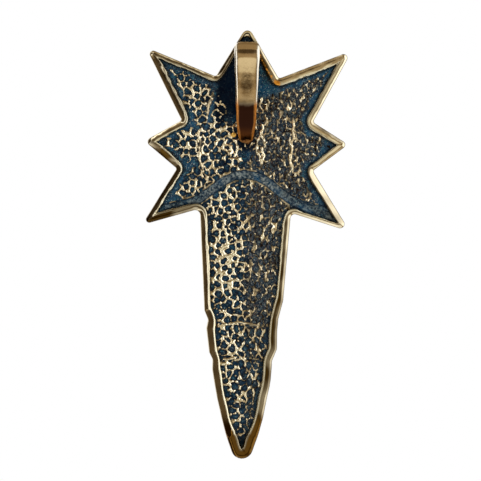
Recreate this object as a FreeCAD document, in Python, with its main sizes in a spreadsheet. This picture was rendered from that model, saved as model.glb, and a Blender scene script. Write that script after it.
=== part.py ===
"""A cast bronze star pendant on a strap bail, in millimetres.

A seven-pointed star head narrows to a long blade in three tiers. The casting is hollow at the back, inside
a polished rim. Its show face carries facets, an oval boss, an arched band and a ridged blade. A bent strap
is soldered over the back of the star as the bail, and a cord passes through it from side to side.

Frame: +Z is up as the pendant hangs, +X runs along the cord, +Y points out of the show face and -Y at the
wearer. The origin is the centre of the round seat at the top of the bail, where the cord carries the
weight. A "drop" is a distance straight down from the pendant's top tip, an "x" a distance from the centre
line.
"""

import FreeCAD, Part
import math
import os

import Sketcher
from FreeCAD import Placement, Rotation, Vector

DIMENSIONS = {
    # bail strap and the round seat for the cord
    "seat_drop": 4.11,
    "seat_radius": 1.5,
    "strap_thickness": 0.95,
    "strap_top_x": 1.75,
    "strap_foot_x": 1.12,
    "strap_taper_drop": 3.2,
    "strap_foot_drop": 15.6,
    "strap_foot_depth": 2.0,
    "strap_leg_radius": 19.3,
    "strap_wrap_below": 10.0,
    "strap_tongue_slope": 30.0,
    "strap_edge_round": 0.28,
    # depths along Y
    "rim_plane": 1.6,
    "edge_thickness": 1.8,
    "recess_depth": 1.0,
    "rim_bevel": 0.5,
    "show_bevel": 0.35,
    "overlap": 0.2,
    # outline of the star head
    "upper_valley_x": 5.05,
    "upper_valley_drop": 6.75,
    "upper_tip_x": 13.75,
    "upper_tip_drop": 3.3,
    "high_valley_x": 9.1,
    "high_valley_drop": 12.7,
    "middle_tip_x": 13.9,
    "middle_tip_drop": 15.8,
    "low_valley_x": 9.5,
    "low_valley_drop": 19.5,
    "lower_tip_x": 14.0,
    "lower_tip_drop": 27.1,
    "neck_x": 6.35,
    "neck_drop": 25.45,
    # outline of the blade: three tiers with a notch between each two
    "first_tier_x": 5.5,
    "first_tier_drop": 39.0,
    "first_notch_x": 5.1,
    "first_notch_drop": 40.4,
    "second_top_x": 5.2,
    "second_top_drop": 41.5,
    "second_tier_x": 4.85,
    "second_tier_drop": 44.9,
    "second_notch_x": 4.33,
    "second_notch_drop": 46.2,
    "third_top_x": 4.38,
    "third_top_drop": 47.3,
    "third_tier_x": 1.5,
    "third_tier_drop": 58.94,
    "third_bulge_x": 3.35,
    "third_bulge_drop": 52.9,
    "total_height": 60.0,
    # rim round the recess
    "rim_width": 0.9,
    "blade_inner_top_x": 5.45,
    "blade_inner_top_drop": 27.0,
    "blade_inner_bend_x": 4.3,
    "blade_inner_bend_drop": 39.4,
    "blade_inner_low_x": 3.0,
    "blade_inner_low_drop": 46.8,
    "blade_inner_end_x": 0.35,
    "blade_inner_end_drop": 58.0,
    "blade_inner_radius": 42.0,
    # oval boss on the show face, and the oval hollow behind it
    "oval_x": 6.3,
    "oval_half_height": 6.8,
    "oval_drop": 13.6,
    "boss_height": 1.8,
    "hollow_depth": 0.9,
    "hollow_margin": 0.5,
    # facets of the star, above the plate's show face
    "facet_base_share": 0.93,
    "facet_top_share": 0.12,
    "facet_drop": 15.0,
    "facet_height": 1.1,
    # ridge of the blade on the show face
    "ridge_margin": 0.45,
    "ridge_start_drop": 24.0,
    "ridge_height": 1.2,
    "ridge_low_height": 0.9,
    "ridge_end_height": 0.4,
    "ridge_end_drop": 58.8,
    # trough behind the blade's ridge
    "trough_start_x": 4.6,
    "trough_start_drop": 23.4,
    "trough_slope_length": 3.0,
    "web": 0.25,
    "trough_depth": 0.75,
    "trough_low_depth": 0.45,
    "trough_end_depth": 0.15,
    "trough_end_x": 0.9,
    "trough_end_drop": 56.5,
    # arched band between star and blade, and the channel behind it
    "arch_apex_drop": 20.1,
    "arch_radius": 6.74,
    "arch_bend_x": 4.6,
    "arch_foot_x": 12.4,
    "arch_foot_drop": 25.85,
    "band_radius": 0.8,
    "channel_radius": 0.62,
    "channel_lift": 0.15,
    # antiquing lacquer in the hollows
    "lacquer_thickness": 0.08,
    "split_margin": 0.06,
    "split_shift": 0.25,
    # solder
    "fillet_reach": 0.55,
    "bead_radius": 0.42,
    "bead_x": 2.0,
    "bead_drop": 14.4,
}

doc = FreeCAD.newDocument("star_pendant")
sheet = doc.addObject("Spreadsheet::Sheet", "dims")
for row, (name, number) in enumerate(DIMENSIONS.items(), start=1):
    sheet.set(f"A{row}", name)
    sheet.set(f"B{row}", str(number))
    sheet.setAlias(f"B{row}", name)
doc.recompute()

# How a free sketch faces, and the axis its place is given along
BACK_VIEW = (Rotation(Vector(1, 0, 0), 90), "y")  # sketch x is +X and sketch y is +Z
PLAN_VIEW = (Rotation(), "z")  # sketch x is +X and sketch y is +Y

START, END, CENTRE = 1, 2, 3  # points of an edge, as the sketcher numbers them
ORIGIN = (-1, 1)
VERTICAL_AXIS = -2


def value(expression):
    """What an expression of {names} comes to."""
    return float(sheet.evalExpression(expression.replace("{", "").replace("}", "")))


def bind(obj, prop, expression):
    """Drives a property by an expression in which {name} is a cell of the sheet."""
    obj.setExpression(prop, expression.replace("{", "dims.").replace("}", ""))


def down(drop):
    """Expression for Z at a drop below the top tip."""
    return f"({{seat_drop}} - ({drop}))"


def drive(sketch, kind, points, expression):
    """Adds a dimension to a sketch and ties it to the sheet."""
    index = sketch.addConstraint(Sketcher.Constraint(kind, *points, value(expression)))
    bind(sketch, f"Constraints[{index}]", expression)


def pin_point(sketch, edge, end, x, y):
    """Ties one end of a sketch edge to the place two expressions give."""
    drive(sketch, "DistanceX", (*ORIGIN, edge, end), x)
    drive(sketch, "DistanceY", (*ORIGIN, edge, end), y)


def new_sketch(name, view, place):
    """A free sketch facing one of the views, at a place along the view's axis."""
    rotation, axis = view
    sketch = doc.addObject("Sketcher::SketchObject", name)
    sketch.Placement = Placement(Vector(), rotation)
    bind(sketch, f"Placement.Base.{axis}", place)
    return sketch


def arc_between(start, end, radius, bulge_left):
    """The shorter arc of a radius from start to end, bulging to the left or right of the way there."""
    middle = (start + end) / 2
    along = end - start
    side = Vector(-along.y, along.x, 0).normalize() * (1 if bulge_left else -1)
    rise = radius - math.sqrt(radius**2 - along.Length**2 / 4)
    return Part.Arc(start, middle + side * rise, end)


def draw_loop(sketch, corners, arcs=None):
    """Adds a closed loop through corners given as (x, y) expressions.

    arcs: number of a side, counted from the first corner -> (radius, whether it bulges to the left).
    """
    arcs = arcs or {}
    base = sketch.GeometryCount
    places = [Vector(value(x), value(y), 0) for x, y in corners]
    count = len(corners)
    first_end = [START] * count
    for side in range(count):
        start = places[side]
        end = places[(side + 1) % count]
        if side in arcs:
            radius, bulge_left = arcs[side]
            sketch.addGeometry(arc_between(start, end, value(radius), bulge_left), False)
            if sketch.getPoint(base + side, START).distanceToPoint(start) > 1e-6:
                first_end[side] = END
        else:
            sketch.addGeometry(Part.LineSegment(start, end), False)
    for side in range(count):
        following = (side + 1) % count
        last_end = END if first_end[side] == START else START
        sketch.addConstraint(
            Sketcher.Constraint("Coincident", base + side, last_end, base + following, first_end[following])
        )
    for side, (x, y) in enumerate(corners):
        pin_point(sketch, base + side, first_end[side], x, y)
    for side, (radius, _) in arcs.items():
        drive(sketch, "Radius", (base + side,), radius)
    return sketch


HEAD_CORNERS = [
    "upper_valley",
    "upper_tip",
    "high_valley",
    "middle_tip",
    "low_valley",
    "lower_tip",
    "neck",
]
BLADE_CORNERS = [
    "first_tier",
    "first_notch",
    "second_top",
    "second_tier",
    "second_notch",
    "third_top",
    "third_bulge",
    "third_tier",
]


def both_sides(names):
    """Corner expressions down the right side, then back up the left side."""
    right = [(f"{{{name}_x}}", down(f"{{{name}_drop}}")) for name in names]
    left = [(f"-{x}", z) for x, z in reversed(right)]
    return right + left


def pendant_outline(sketch):
    """The whole outline: star head, blade with its notches and a round end."""
    names = HEAD_CORNERS + BLADE_CORNERS
    corners = [("0 * {seat_drop}", down("0"))] + both_sides(names)
    end_drop = "({total_height} - {third_tier_drop})"
    tip_radius = f"({{third_tier_x}} ^ 2 + {end_drop} ^ 2) / (2 * {end_drop})"
    # the loop runs clockwise, so the outside is on the left
    return draw_loop(sketch, corners, {len(names): (tip_radius, True)})


def face_at(shape, y):
    """Name of the flat face whose every point has this Y."""
    for index, face in enumerate(shape.Faces, start=1):
        box = face.BoundBox
        if abs(box.YMin - y) < 1e-6 and abs(box.YMax - y) < 1e-6:
            return f"Face{index}"
    raise ValueError(f"no face at y = {y}")


def body_sketch(body, name, plane, offset=None):
    """A sketch on one of a body's own origin planes, moved along the plane's normal."""
    sketch = body.newObject("Sketcher::SketchObject", name)
    roles = {feature.Role: feature for feature in body.Origin.OriginFeatures}
    sketch.AttachmentSupport = [(roles[plane], "")]
    sketch.MapMode = "FlatFace"
    if offset is not None:
        bind(sketch, "AttachmentOffset.Base.z", offset)
    return sketch


def slab(name, sketch, length, towards_show=True):
    """A solid drawn out of a sketch along Y."""
    solid = doc.addObject("Part::Extrusion", name)
    solid.Base = sketch
    solid.DirMode = "Custom"
    solid.Dir = Vector(0, 1 if towards_show else -1, 0)
    solid.Solid = True
    bind(solid, "LengthFwd", length)
    return solid


def boolean(kind, name, *shapes):
    """Part::Cut takes two shapes; Part::MultiFuse and Part::MultiCommon take any number."""
    result = doc.addObject(f"Part::{kind}", name)
    if kind == "Cut":
        result.Base, result.Tool = shapes
    else:
        result.Shapes = list(shapes)
    result.Refine = True
    return result


def shifted(name, shape, axis, distance):
    """The same shape again, moved along one axis."""
    copy = doc.addObject("Part::Compound", name)
    copy.Links = [shape]
    bind(copy, f"Placement.Base.{axis}", distance)
    return copy


# --- casting: plate ---------------------------------------------------------------------------------------


def make_plate():
    """The flat casting with its back edge bevelled to the rim and its show edge eased."""
    body = doc.addObject("PartDesign::Body", "plate")
    outline = pendant_outline(body_sketch(body, "plate_outline", "XZ_Plane", "-{rim_plane}"))
    pad = body.newObject("PartDesign::Pad", "plate_pad")
    pad.Profile = outline
    pad.Reversed = True
    bind(pad, "Length", "{edge_thickness}")
    doc.recompute()
    for name, y, size in (
        ("rim_chamfer", "{rim_plane}", "{rim_bevel}"),
        ("show_chamfer", "{rim_plane} + {edge_thickness}", "{show_bevel}"),
    ):
        base = body.Tip
        chamfer = body.newObject("PartDesign::Chamfer", name)
        chamfer.Base = (base, [face_at(base.Shape, value(y))])
        bind(chamfer, "Size", size)
        doc.recompute()
    return body


# --- casting: show face -----------------------------------------------------------------------------------

SHOW_FACE = "({rim_plane} + {edge_thickness})"


def star_section(name, share, y):
    """The star head's outline, closed across the neck and scaled about the middle of the star."""
    middle = "{facet_drop}"
    corners = [("0 * {seat_drop}", down(f"{middle} - {share} * {middle}"))]
    right = [
        (f"{share} * {{{name}_x}}", down(f"{middle} + {share} * ({{{name}_drop}} - {middle})"))
        for name in HEAD_CORNERS
    ]
    left = [(f"-{x}", z) for x, z in reversed(right)]
    return draw_loop(new_sketch(name, BACK_VIEW, y), corners + right + left)


def loft(name, sections):
    """A solid with straight flanks between sections."""
    solid = doc.addObject("Part::Loft", name)
    solid.Sections = sections
    solid.Solid = True
    solid.Ruled = True
    return solid


def make_facets():
    """Facets that rise from each tip and valley of the star towards its middle."""
    low = star_section("facet_base", "{facet_base_share}", f"{SHOW_FACE} - {{overlap}}")
    high = star_section("facet_top", "{facet_top_share}", f"{SHOW_FACE} + {{facet_height}}")
    return loft("facets", [low, high])


def wedge_section(name, drop, half_width, base, rise):
    """A three-cornered cross-section of the blade: flat at base, its ridge towards the show face."""
    corners = [
        (f"-{half_width}", base),
        (half_width, base),
        ("0 * {seat_drop}", f"{base} + {rise}"),
    ]
    return draw_loop(new_sketch(name, PLAN_VIEW, down(drop)), corners)


def wedges(name, base, stations):
    """Wedge-shaped solids laid end to end; each has a top and a bottom station of (drop, x, rise)."""
    parts = []
    for tier, (top, bottom) in enumerate(stations, start=1):
        ends = [
            wedge_section(f"{name}_{tier}_{place}", drop, half_width, base, rise)
            for place, (drop, half_width, rise) in (("top", top), ("bottom", bottom))
        ]
        parts.append(loft(f"{name}_{tier}", ends))
    return parts


def make_ridges():
    """The blade's ridge, tier by tier."""
    narrow = "{ridge_margin}"
    tall = "({ridge_height} + {overlap})"
    low = "({ridge_low_height} + {overlap})"
    end = "({ridge_end_height} + {overlap})"
    stations = [
        (
            ("{ridge_start_drop}", f"({{neck_x}} - {narrow})", tall),
            ("{first_tier_drop}", f"({{first_tier_x}} - {narrow})", tall),
        ),
        (
            ("{first_notch_drop}", f"({{second_top_x}} - {narrow})", low),
            ("{second_tier_drop}", f"({{second_tier_x}} - {narrow})", low),
        ),
        (
            ("{second_notch_drop}", f"({{third_top_x}} - {narrow})", low),
            ("{ridge_end_drop}", narrow, end),
        ),
    ]
    return wedges("ridge", f"({SHOW_FACE} - {{overlap}})", stations)


def oval(name, y, x_radius, y_radius, z_radius):
    """An ellipsoid on the centre line at the middle of the star."""
    solid = doc.addObject("Part::Ellipsoid", name)
    # Radius1 lies along the ellipsoid's own Z, Radius2 along X and Radius3 along Y
    bind(solid, "Radius1", z_radius)
    bind(solid, "Radius2", x_radius)
    bind(solid, "Radius3", y_radius)
    bind(solid, "Placement.Base.y", y)
    bind(solid, "Placement.Base.z", down("{oval_drop}"))
    return solid


def arch_path(name, y):
    """Centre line of the arch: a round top whose sides sweep out to the lower star tips."""
    sketch = new_sketch(name, BACK_VIEW, y)
    radius = value("{arch_radius}")
    bend_x = value("{arch_bend_x}")
    lean = math.asin(bend_x / radius)
    centre = Vector(0, value(down("{arch_apex_drop}")) - radius, 0)
    bend = centre + Vector(bend_x, radius * math.cos(lean), 0)
    foot = Vector(value("{arch_foot_x}"), value(down("{arch_foot_drop}")), 0)
    along = foot - bend
    chord_lean = math.atan2(-along.y, along.x)
    side_radius = along.Length / 2 / math.sin(lean - chord_lean)
    upright = math.pi / 2
    crown = Part.Circle(centre, Vector(0, 0, 1), radius)
    sketch.addGeometry(Part.ArcOfCircle(crown, upright - lean, upright + lean), False)
    reach = bend + Vector(math.sin(lean), math.cos(lean), 0) * side_radius
    for sign in (1, -1):
        side_centre = Vector(sign * reach.x, reach.y, 0)
        angles = sorted(
            math.atan2(point.y - side_centre.y, sign * point.x - side_centre.x) % (2 * math.pi)
            for point in (bend, foot)
        )
        circle = Part.Circle(side_centre, Vector(0, 0, 1), side_radius)
        sketch.addGeometry(Part.ArcOfCircle(circle, *angles), False)
    # the right side arc starts at the bend, the left one ends there
    sketch.addConstraint(Sketcher.Constraint("Tangent", 0, START, 1, START))
    sketch.addConstraint(Sketcher.Constraint("Tangent", 0, END, 2, END))
    sketch.addConstraint(Sketcher.Constraint("PointOnObject", 0, CENTRE, VERTICAL_AXIS))
    drive(sketch, "Radius", (0,), "{arch_radius}")
    drive(sketch, "DistanceY", (*ORIGIN, 0, CENTRE), f"{down('{arch_apex_drop}')} - {{arch_radius}}")
    drive(sketch, "DistanceX", (*ORIGIN, 0, START), "{arch_bend_x}")
    drive(sketch, "DistanceX", (*ORIGIN, 0, END), "-{arch_bend_x}")
    pin_point(sketch, 1, END, "{arch_foot_x}", down("{arch_foot_drop}"))
    pin_point(sketch, 2, START, "-{arch_foot_x}", down("{arch_foot_drop}"))
    return sketch


def arch_rod(name, y, radius):
    """A round rod along the arch."""
    path = arch_path(f"{name}_path", y)
    section = doc.addObject("Part::Circle", f"{name}_section")
    section.Placement = Placement(Vector(), Rotation(Vector(0, 1, 0), 90))
    bind(section, "Radius", radius)
    bind(section, "Placement.Base.y", y)
    bind(section, "Placement.Base.z", down("{arch_apex_drop}"))
    rod = doc.addObject("Part::Sweep", name)
    rod.Sections = [section]
    rod.Spine = (path, ["Edge1", "Edge2", "Edge3"])
    rod.Solid = True
    return rod


# --- casting: hollow back ---------------------------------------------------------------------------------

FLOOR = "({rim_plane} + {recess_depth})"


def recess_footprint():
    """The outline drawn in by the rim's width, and drawn in further beside the blade."""
    outline = pendant_outline(new_sketch("recess_outline", BACK_VIEW, "{rim_plane} - {overlap}"))
    face = doc.addObject("Part::Face", "outline_face")
    face.Sources = [outline]
    face.FaceMakerClass = "Part::FaceMakerBullseye"
    inner = doc.addObject("Part::Offset2D", "recess_inner")
    inner.Source = face
    inner.Mode = "Skin"
    inner.Join = "Arc"
    bind(inner, "Value", "-{rim_width}")
    doc.recompute()
    blade = new_sketch("blade_inner", BACK_VIEW, "{rim_plane} - {overlap}")
    wide = "2 * {lower_tip_x}"
    right = [
        (wide, down("-{rim_width}")),
        (wide, down("{blade_inner_top_drop}")),
        ("{blade_inner_top_x}", down("{blade_inner_top_drop}")),
        ("{blade_inner_bend_x}", down("{blade_inner_bend_drop}")),
        ("{blade_inner_low_x}", down("{blade_inner_low_drop}")),
        ("{blade_inner_end_x}", down("{blade_inner_end_drop}")),
    ]
    left = [(f"-({x})", z) for x, z in reversed(right)]
    side = ("{blade_inner_radius}", True)
    draw_loop(blade, right + left, {4: side, 6: side})
    return inner, blade


def trough_stations():
    """The troughs behind the blade: one slopes in under the arch, then one for each tier."""
    deep = "({trough_depth} + {overlap})"
    low = "({trough_low_depth} + {overlap})"
    end = "({trough_end_depth} + {overlap})"
    full_depth_drop = "({trough_start_drop} + {trough_slope_length})"
    tier_end = "{blade_inner_bend_x}"
    return [
        (
            ("{trough_start_drop}", "{trough_start_x}", "{overlap}"),
            (full_depth_drop, "{trough_start_x}", deep),
        ),
        (
            (full_depth_drop, "{trough_start_x}", deep),
            ("{first_notch_drop}", tier_end, deep),
        ),
        (
            ("({first_notch_drop} + 2 * {web})", f"({tier_end} - {{web}})", deep),
            ("({second_notch_drop} - {web})", "{blade_inner_low_x}", low),
        ),
        (
            ("({second_notch_drop} + {web})", "{blade_inner_low_x}", low),
            ("{trough_end_drop}", "{trough_end_x}", end),
        ),
    ]


def make_void():
    """Everything hollowed out of the back: recess, oval hollow, arch channel and the blade's troughs."""
    inner, blade = recess_footprint()
    deep = "{recess_depth} + {overlap} + {boss_height} + {edge_thickness}"
    inner_shaft = slab("inner_shaft", inner, deep)
    shaft = boolean("MultiCommon", "recess_shaft", inner_shaft, slab("blade_shaft", blade, deep))
    shallow = doc.addObject("Part::Box", "recess_layer")
    bind(shallow, "Length", "4 * {lower_tip_x}")
    bind(shallow, "Width", "{recess_depth} + {overlap}")
    bind(shallow, "Height", "2 * {total_height}")
    bind(shallow, "Placement.Base.x", "-2 * {lower_tip_x}")
    bind(shallow, "Placement.Base.y", "{rim_plane} - {overlap}")
    bind(shallow, "Placement.Base.z", "-1.5 * {total_height}")
    recess = boolean("MultiCommon", "recess", shaft, shallow)
    hollow = oval(
        "oval_hollow",
        FLOOR,
        "({oval_x} - {hollow_margin})",
        "{hollow_depth}",
        "({oval_half_height} - {hollow_margin})",
    )
    channel = arch_rod("channel", f"{FLOOR} - {{channel_lift}}", "{channel_radius}")
    troughs = wedges("trough", f"({FLOOR} - {{overlap}})", trough_stations())
    pockets = boolean("MultiFuse", "pockets", hollow, channel, *troughs)
    pockets_inside = boolean("MultiCommon", "pockets_inside", pockets, shaft)
    return boolean("MultiFuse", "void", recess, pockets_inside)


# --- bail -------------------------------------------------------------------------------------------------


def strap_profile(body):
    """Side view of the bent strap: tongue into the top point, round seat, long leg to the star's middle."""
    inner = "{seat_radius}"
    outer = "({seat_radius} + {strap_thickness})"
    slope = "{strap_tongue_slope}"
    turn = "{strap_wrap_below}"
    tongue_y = f"({FLOOR} + {{lacquer_thickness}})"
    foot_y = "({rim_plane} + {strap_foot_depth})"
    leg = "{strap_leg_radius}"
    leg_inside = "({strap_leg_radius} - {strap_thickness})"
    centre_reach = f"({leg} - {outer})"

    def tongue(radius):
        drop_off = f"({tongue_y} - {radius} * sin({slope})) * tan({slope})"
        return (tongue_y, f"{radius} * cos({slope}) - {drop_off}")

    def seat_start(radius):
        return (f"{radius} * sin({slope})", f"{radius} * cos({slope})")

    def seat_end(radius):
        return (f"-{radius} * cos({turn})", f"-{radius} * sin({turn})")

    def foot(radius):
        across = f"({foot_y} - {centre_reach} * cos({turn}))"
        return (foot_y, f"{centre_reach} * sin({turn}) - sqrt({radius} ^ 2 - {across} ^ 2)")

    corners = [
        tongue(outer),
        seat_start(outer),
        seat_end(outer),
        foot(leg),
        foot(leg_inside),
        seat_end(inner),
        seat_start(inner),
        tongue(inner),
    ]
    arcs = {1: (outer, False), 2: (leg, False), 4: (leg_inside, True), 5: (inner, True)}
    return draw_loop(body_sketch(body, "strap_profile", "YZ_Plane"), corners, arcs)


def strap_taper(body):
    """What is cut away on both sides so the leg narrows to its foot, seen from the back."""
    sketch = body_sketch(body, "strap_taper", "XZ_Plane")
    below = down("{strap_foot_drop} + {strap_thickness}")
    start = down("{strap_taper_drop}")
    for sign in ("", "-"):
        corners = [
            (f"{sign}({{strap_top_x}})", start),
            (f"{sign}({{strap_foot_x}})", below),
            (f"{sign}(2 * {{strap_top_x}})", below),
            (f"{sign}(2 * {{strap_top_x}})", start),
        ]
        draw_loop(sketch, corners)
    return sketch


def make_strap():
    """The bail: a flat strap, bent, tapered and rounded along both edges."""
    body = doc.addObject("PartDesign::Body", "strap")
    pad = body.newObject("PartDesign::Pad", "strap_pad")
    pad.Profile = strap_profile(body)
    pad.SideType = "Symmetric"
    bind(pad, "Length", "2 * {strap_top_x}")
    doc.recompute()
    pocket = body.newObject("PartDesign::Pocket", "strap_sides")
    pocket.Profile = strap_taper(body)
    pocket.SideType = "Symmetric"
    pocket.Type = "ThroughAll"
    doc.recompute()
    ends = (value(f"{FLOOR} + {{lacquer_thickness}}"), value("{rim_plane} + {strap_foot_depth}"))
    long_edges = []
    for index, edge in enumerate(pocket.Shape.Edges, start=1):
        box = edge.BoundBox
        buried = any(abs(box.YMin - y) < 1e-6 and abs(box.YMax - y) < 1e-6 for y in ends)
        if not buried and box.XLength < edge.Length / 2:
            long_edges.append(f"Edge{index}")
    rounding = body.newObject("PartDesign::Fillet", "strap_edges")
    rounding.Base = (pocket, long_edges)
    bind(rounding, "Radius", "{strap_edge_round}")
    doc.recompute()
    return body


def solder_lump(name, at, radii):
    """A rounded lump of solder at (x, y, drop), with its radii along X, Y and Z."""
    x, y, drop = at
    x_radius, y_radius, z_radius = radii
    lump = oval(name, y, x_radius, y_radius, z_radius)
    bind(lump, "Placement.Base.x", x)
    bind(lump, "Placement.Base.z", down(drop))
    return lump


# --- lacquer ----------------------------------------------------------------------------------------------


def below_arch():
    """Everything under the arch, as a slab; its upper side follows the middle of the channel."""
    apex = "({arch_apex_drop} - {split_shift})"
    rise = "sqrt({arch_radius} ^ 2 - {arch_bend_x} ^ 2)"
    bend = f"({{arch_apex_drop}} + {{arch_radius}} - {rise} + {{split_shift}})"
    foot = "({arch_foot_drop} + {split_shift})"
    right = [
        ("{arch_bend_x}", down(bend)),
        ("{arch_foot_x}", down(foot)),
        ("2 * {arch_foot_x}", down(foot)),
        ("2 * {arch_foot_x}", down("{total_height}")),
    ]
    left = [(f"-({x})", z) for x, z in reversed(right)]
    corners = [("0 * {seat_drop}", down(apex))] + right + left
    outline = draw_loop(new_sketch("below_arch_outline", BACK_VIEW, "{rim_plane}"), corners)
    return slab("below_arch", outline, "{recess_depth} + {boss_height} + {edge_thickness}")


# --- the pieces -------------------------------------------------------------------------------------------

plate = make_plate()
show_relief = [
    make_facets(),
    oval("boss", SHOW_FACE, "{oval_x}", "{boss_height}", "{oval_half_height}"),
    arch_rod("band", SHOW_FACE, "{band_radius}"),
    *make_ridges(),
]
void = make_void()
blank = boolean("MultiFuse", "blank", plate, *show_relief)
casting = boolean("Cut", "pendant_casting", blank, void)
bail = boolean("Cut", "bail_strap", make_strap(), casting)

reach = "{fillet_reach}"
lower_lump = solder_lump(
    "lower_lump",
    at=("0 * {seat_drop}", "({rim_plane} + {strap_foot_depth})", "({strap_foot_drop} - {fillet_reach})"),
    radii=(f"{{strap_foot_x}} + {reach}", reach, f"2 * {{strap_thickness}} + {reach}"),
)
upper_lump = solder_lump(
    "upper_lump",
    at=("0 * {seat_drop}", FLOOR, f"({{seat_drop}} + {reach})"),
    radii=("{strap_top_x}", reach, "{strap_thickness}"),
)
bead_lump = solder_lump(
    "bead_lump",
    at=("-{bead_x}", f"({FLOOR} + 0.8 * {{hollow_depth}})", "{bead_drop}"),
    radii=["{bead_radius}"] * 3,
)
solder = [
    boolean("Cut", "solder_joint_lower", boolean("MultiCommon", "lower_fill", lower_lump, void), bail),
    boolean("Cut", "solder_joint_upper", boolean("MultiCommon", "upper_fill", upper_lump, void), bail),
    boolean("MultiCommon", "solder_bead", bead_lump, void),
]

lacquer = boolean("Cut", "lacquer", void, shifted("void_lifted", void, "y", "-{lacquer_thickness}"))
channel_y = f"{FLOOR} - {{channel_lift}}"
channel_zone = arch_rod("channel_zone", channel_y, "{channel_radius} + {split_margin}")
beside_channel = boolean("Cut", "lacquer_beside_channel", lacquer, channel_zone)
under = below_arch()
top_block = doc.addObject("Part::Box", "top_point_block")
bind(top_block, "Length", "4 * {strap_top_x}")
bind(top_block, "Width", "2 * {edge_thickness}")
bind(top_block, "Height", "2 * {seat_drop}")
bind(top_block, "Placement.Base.x", "-2 * {strap_top_x}")
bind(top_block, "Placement.Base.y", "{rim_plane}")
bind(top_block, "Placement.Base.z", "0 * {seat_drop}")
above = boolean("Cut", "lacquer_above_arch", beside_channel, under)
clear_of = boolean("MultiFuse", "soldered_parts", bail, top_block, *solder)
head_fill = boolean("Cut", "patina_fill_head", above, clear_of)
blade_fill = boolean("MultiCommon", "patina_fill_blade", beside_channel, under)
arch_fill = boolean("MultiCommon", "patina_fill_arch", lacquer, channel_zone)

pieces = [casting, head_fill, arch_fill, blade_fill, bail, *solder]
doc.recompute()

broken = [thing.Name for thing in doc.Objects if {"Invalid", "Error"} & set(thing.State)]
if broken:
    raise RuntimeError(f"not built: {broken}")
os.makedirs("parts", exist_ok=True)
for piece in pieces:
    piece.Label = piece.Name
    shape = piece.Shape
    if shape.isNull() or not shape.isValid() or len(shape.Solids) != 1:
        raise RuntimeError(f"{piece.Label}: {len(shape.Solids)} solids, valid: {shape.isValid()}")
    shape.exportStep(f"parts/{piece.Label}.step")
    print(piece.Label, round(shape.Volume, 3), "mm3")
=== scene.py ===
"""Looks of the star-burst pendant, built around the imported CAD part.

All shape work is in millimetres in the plane of the pendant: x to the right as seen from the back, "drop"
straight down from the top tip, and "depth" from the rim's back plane towards the show face.
"""

import math

import bpy
import numpy as np
from mathutils import Matrix, Vector
from mathutils.geometry import delaunay_2d_cdt


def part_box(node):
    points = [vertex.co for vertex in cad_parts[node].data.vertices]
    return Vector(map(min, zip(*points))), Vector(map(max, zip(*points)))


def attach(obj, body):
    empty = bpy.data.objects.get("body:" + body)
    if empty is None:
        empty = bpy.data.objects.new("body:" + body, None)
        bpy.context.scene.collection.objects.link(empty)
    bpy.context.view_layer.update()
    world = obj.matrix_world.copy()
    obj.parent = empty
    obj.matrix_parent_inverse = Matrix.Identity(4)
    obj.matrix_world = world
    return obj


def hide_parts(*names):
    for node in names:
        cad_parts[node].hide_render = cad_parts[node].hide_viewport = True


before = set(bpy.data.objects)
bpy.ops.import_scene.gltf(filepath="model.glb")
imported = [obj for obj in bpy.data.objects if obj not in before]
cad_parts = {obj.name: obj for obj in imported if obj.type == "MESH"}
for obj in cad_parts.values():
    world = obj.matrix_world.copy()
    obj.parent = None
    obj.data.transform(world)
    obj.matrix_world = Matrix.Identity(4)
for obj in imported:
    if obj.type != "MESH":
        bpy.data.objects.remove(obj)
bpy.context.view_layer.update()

MM = 1e-3

plate_low, plate_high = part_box("pendant_casting")
strap_low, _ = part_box("bail_strap")
TOP_Z = plate_high.z / MM  # Z of the top tip
RIM_Y = plate_low.y / MM  # Y of the rim's back plane
SEAT_OUTER = -strap_low.y / MM  # outer radius of the strap round the cord's seat
EDGE_THICKNESS = 1.8  # from the rim's back plane to the show face at the outline
CHUNK = 4000  # points worked on at a time, so that the tables of distances stay small


# --- small helpers ---


def smooth(x, low=0, high=1):
    """Eased step from 0 at low to 1 at high."""
    t = np.clip((x - low) / (high - low), 0, 1)
    return t * t * (3 - 2 * t)


def bump(x, centre, width):
    """Bell curve."""
    return np.exp(-(((x - centre) / width) ** 2))


def fade(x, low=0, high=1):
    """Eased step from 1 at low to 0 at high."""
    return 1 - smooth(x, low, high)


def between(x, low, low_full, high_full, high):
    """Eased window: 0 below low, 1 from low_full to high_full and 0 again above high."""
    return smooth(x, low, low_full) * fade(x, high_full, high)


def unit(x):
    """The values kept between 0 and 1."""
    return np.clip(x, 0, 1)


def x_and_drop(p):
    """The two coordinates of plane points, the second one measured downwards."""
    return p[:, 0], -p[:, 1]


def spot(p, x, drop, radius):
    """Round bell over the plane."""
    return bump(np.hypot(p[:, 0] - x, -p[:, 1] - drop), 0, radius)


def in_chunks(work, *tables):
    """Runs work on some rows of the tables at a time and joins the results."""
    starts = range(0, len(tables[0]), CHUNK)
    return np.concatenate([work(*(table[i : i + CHUNK] for table in tables)) for i in starts])


class Waves:
    """Smooth random field over the plane, about -1 to 1, of one typical wavelength."""

    def __init__(self, seed, wavelength, stretch=1, count=26):
        rng = np.random.default_rng(seed)
        angle = rng.uniform(0, np.pi, count)
        k = 2 * np.pi / (wavelength * rng.uniform(0.7, 1.5, count))
        self.k = np.stack([np.cos(angle) * k, np.sin(angle) * k / stretch], 0)
        self.phase = rng.uniform(0, 2 * np.pi, count)
        self.gain = 1.2 / math.sqrt(count)

    def __call__(self, p):
        return np.cos(p @ self.k + self.phase).sum(1) * self.gain


def add_object(name, data):
    """A new object in the scene."""
    obj = bpy.data.objects.new(name, data)
    bpy.context.scene.collection.objects.link(obj)
    return obj


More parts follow.
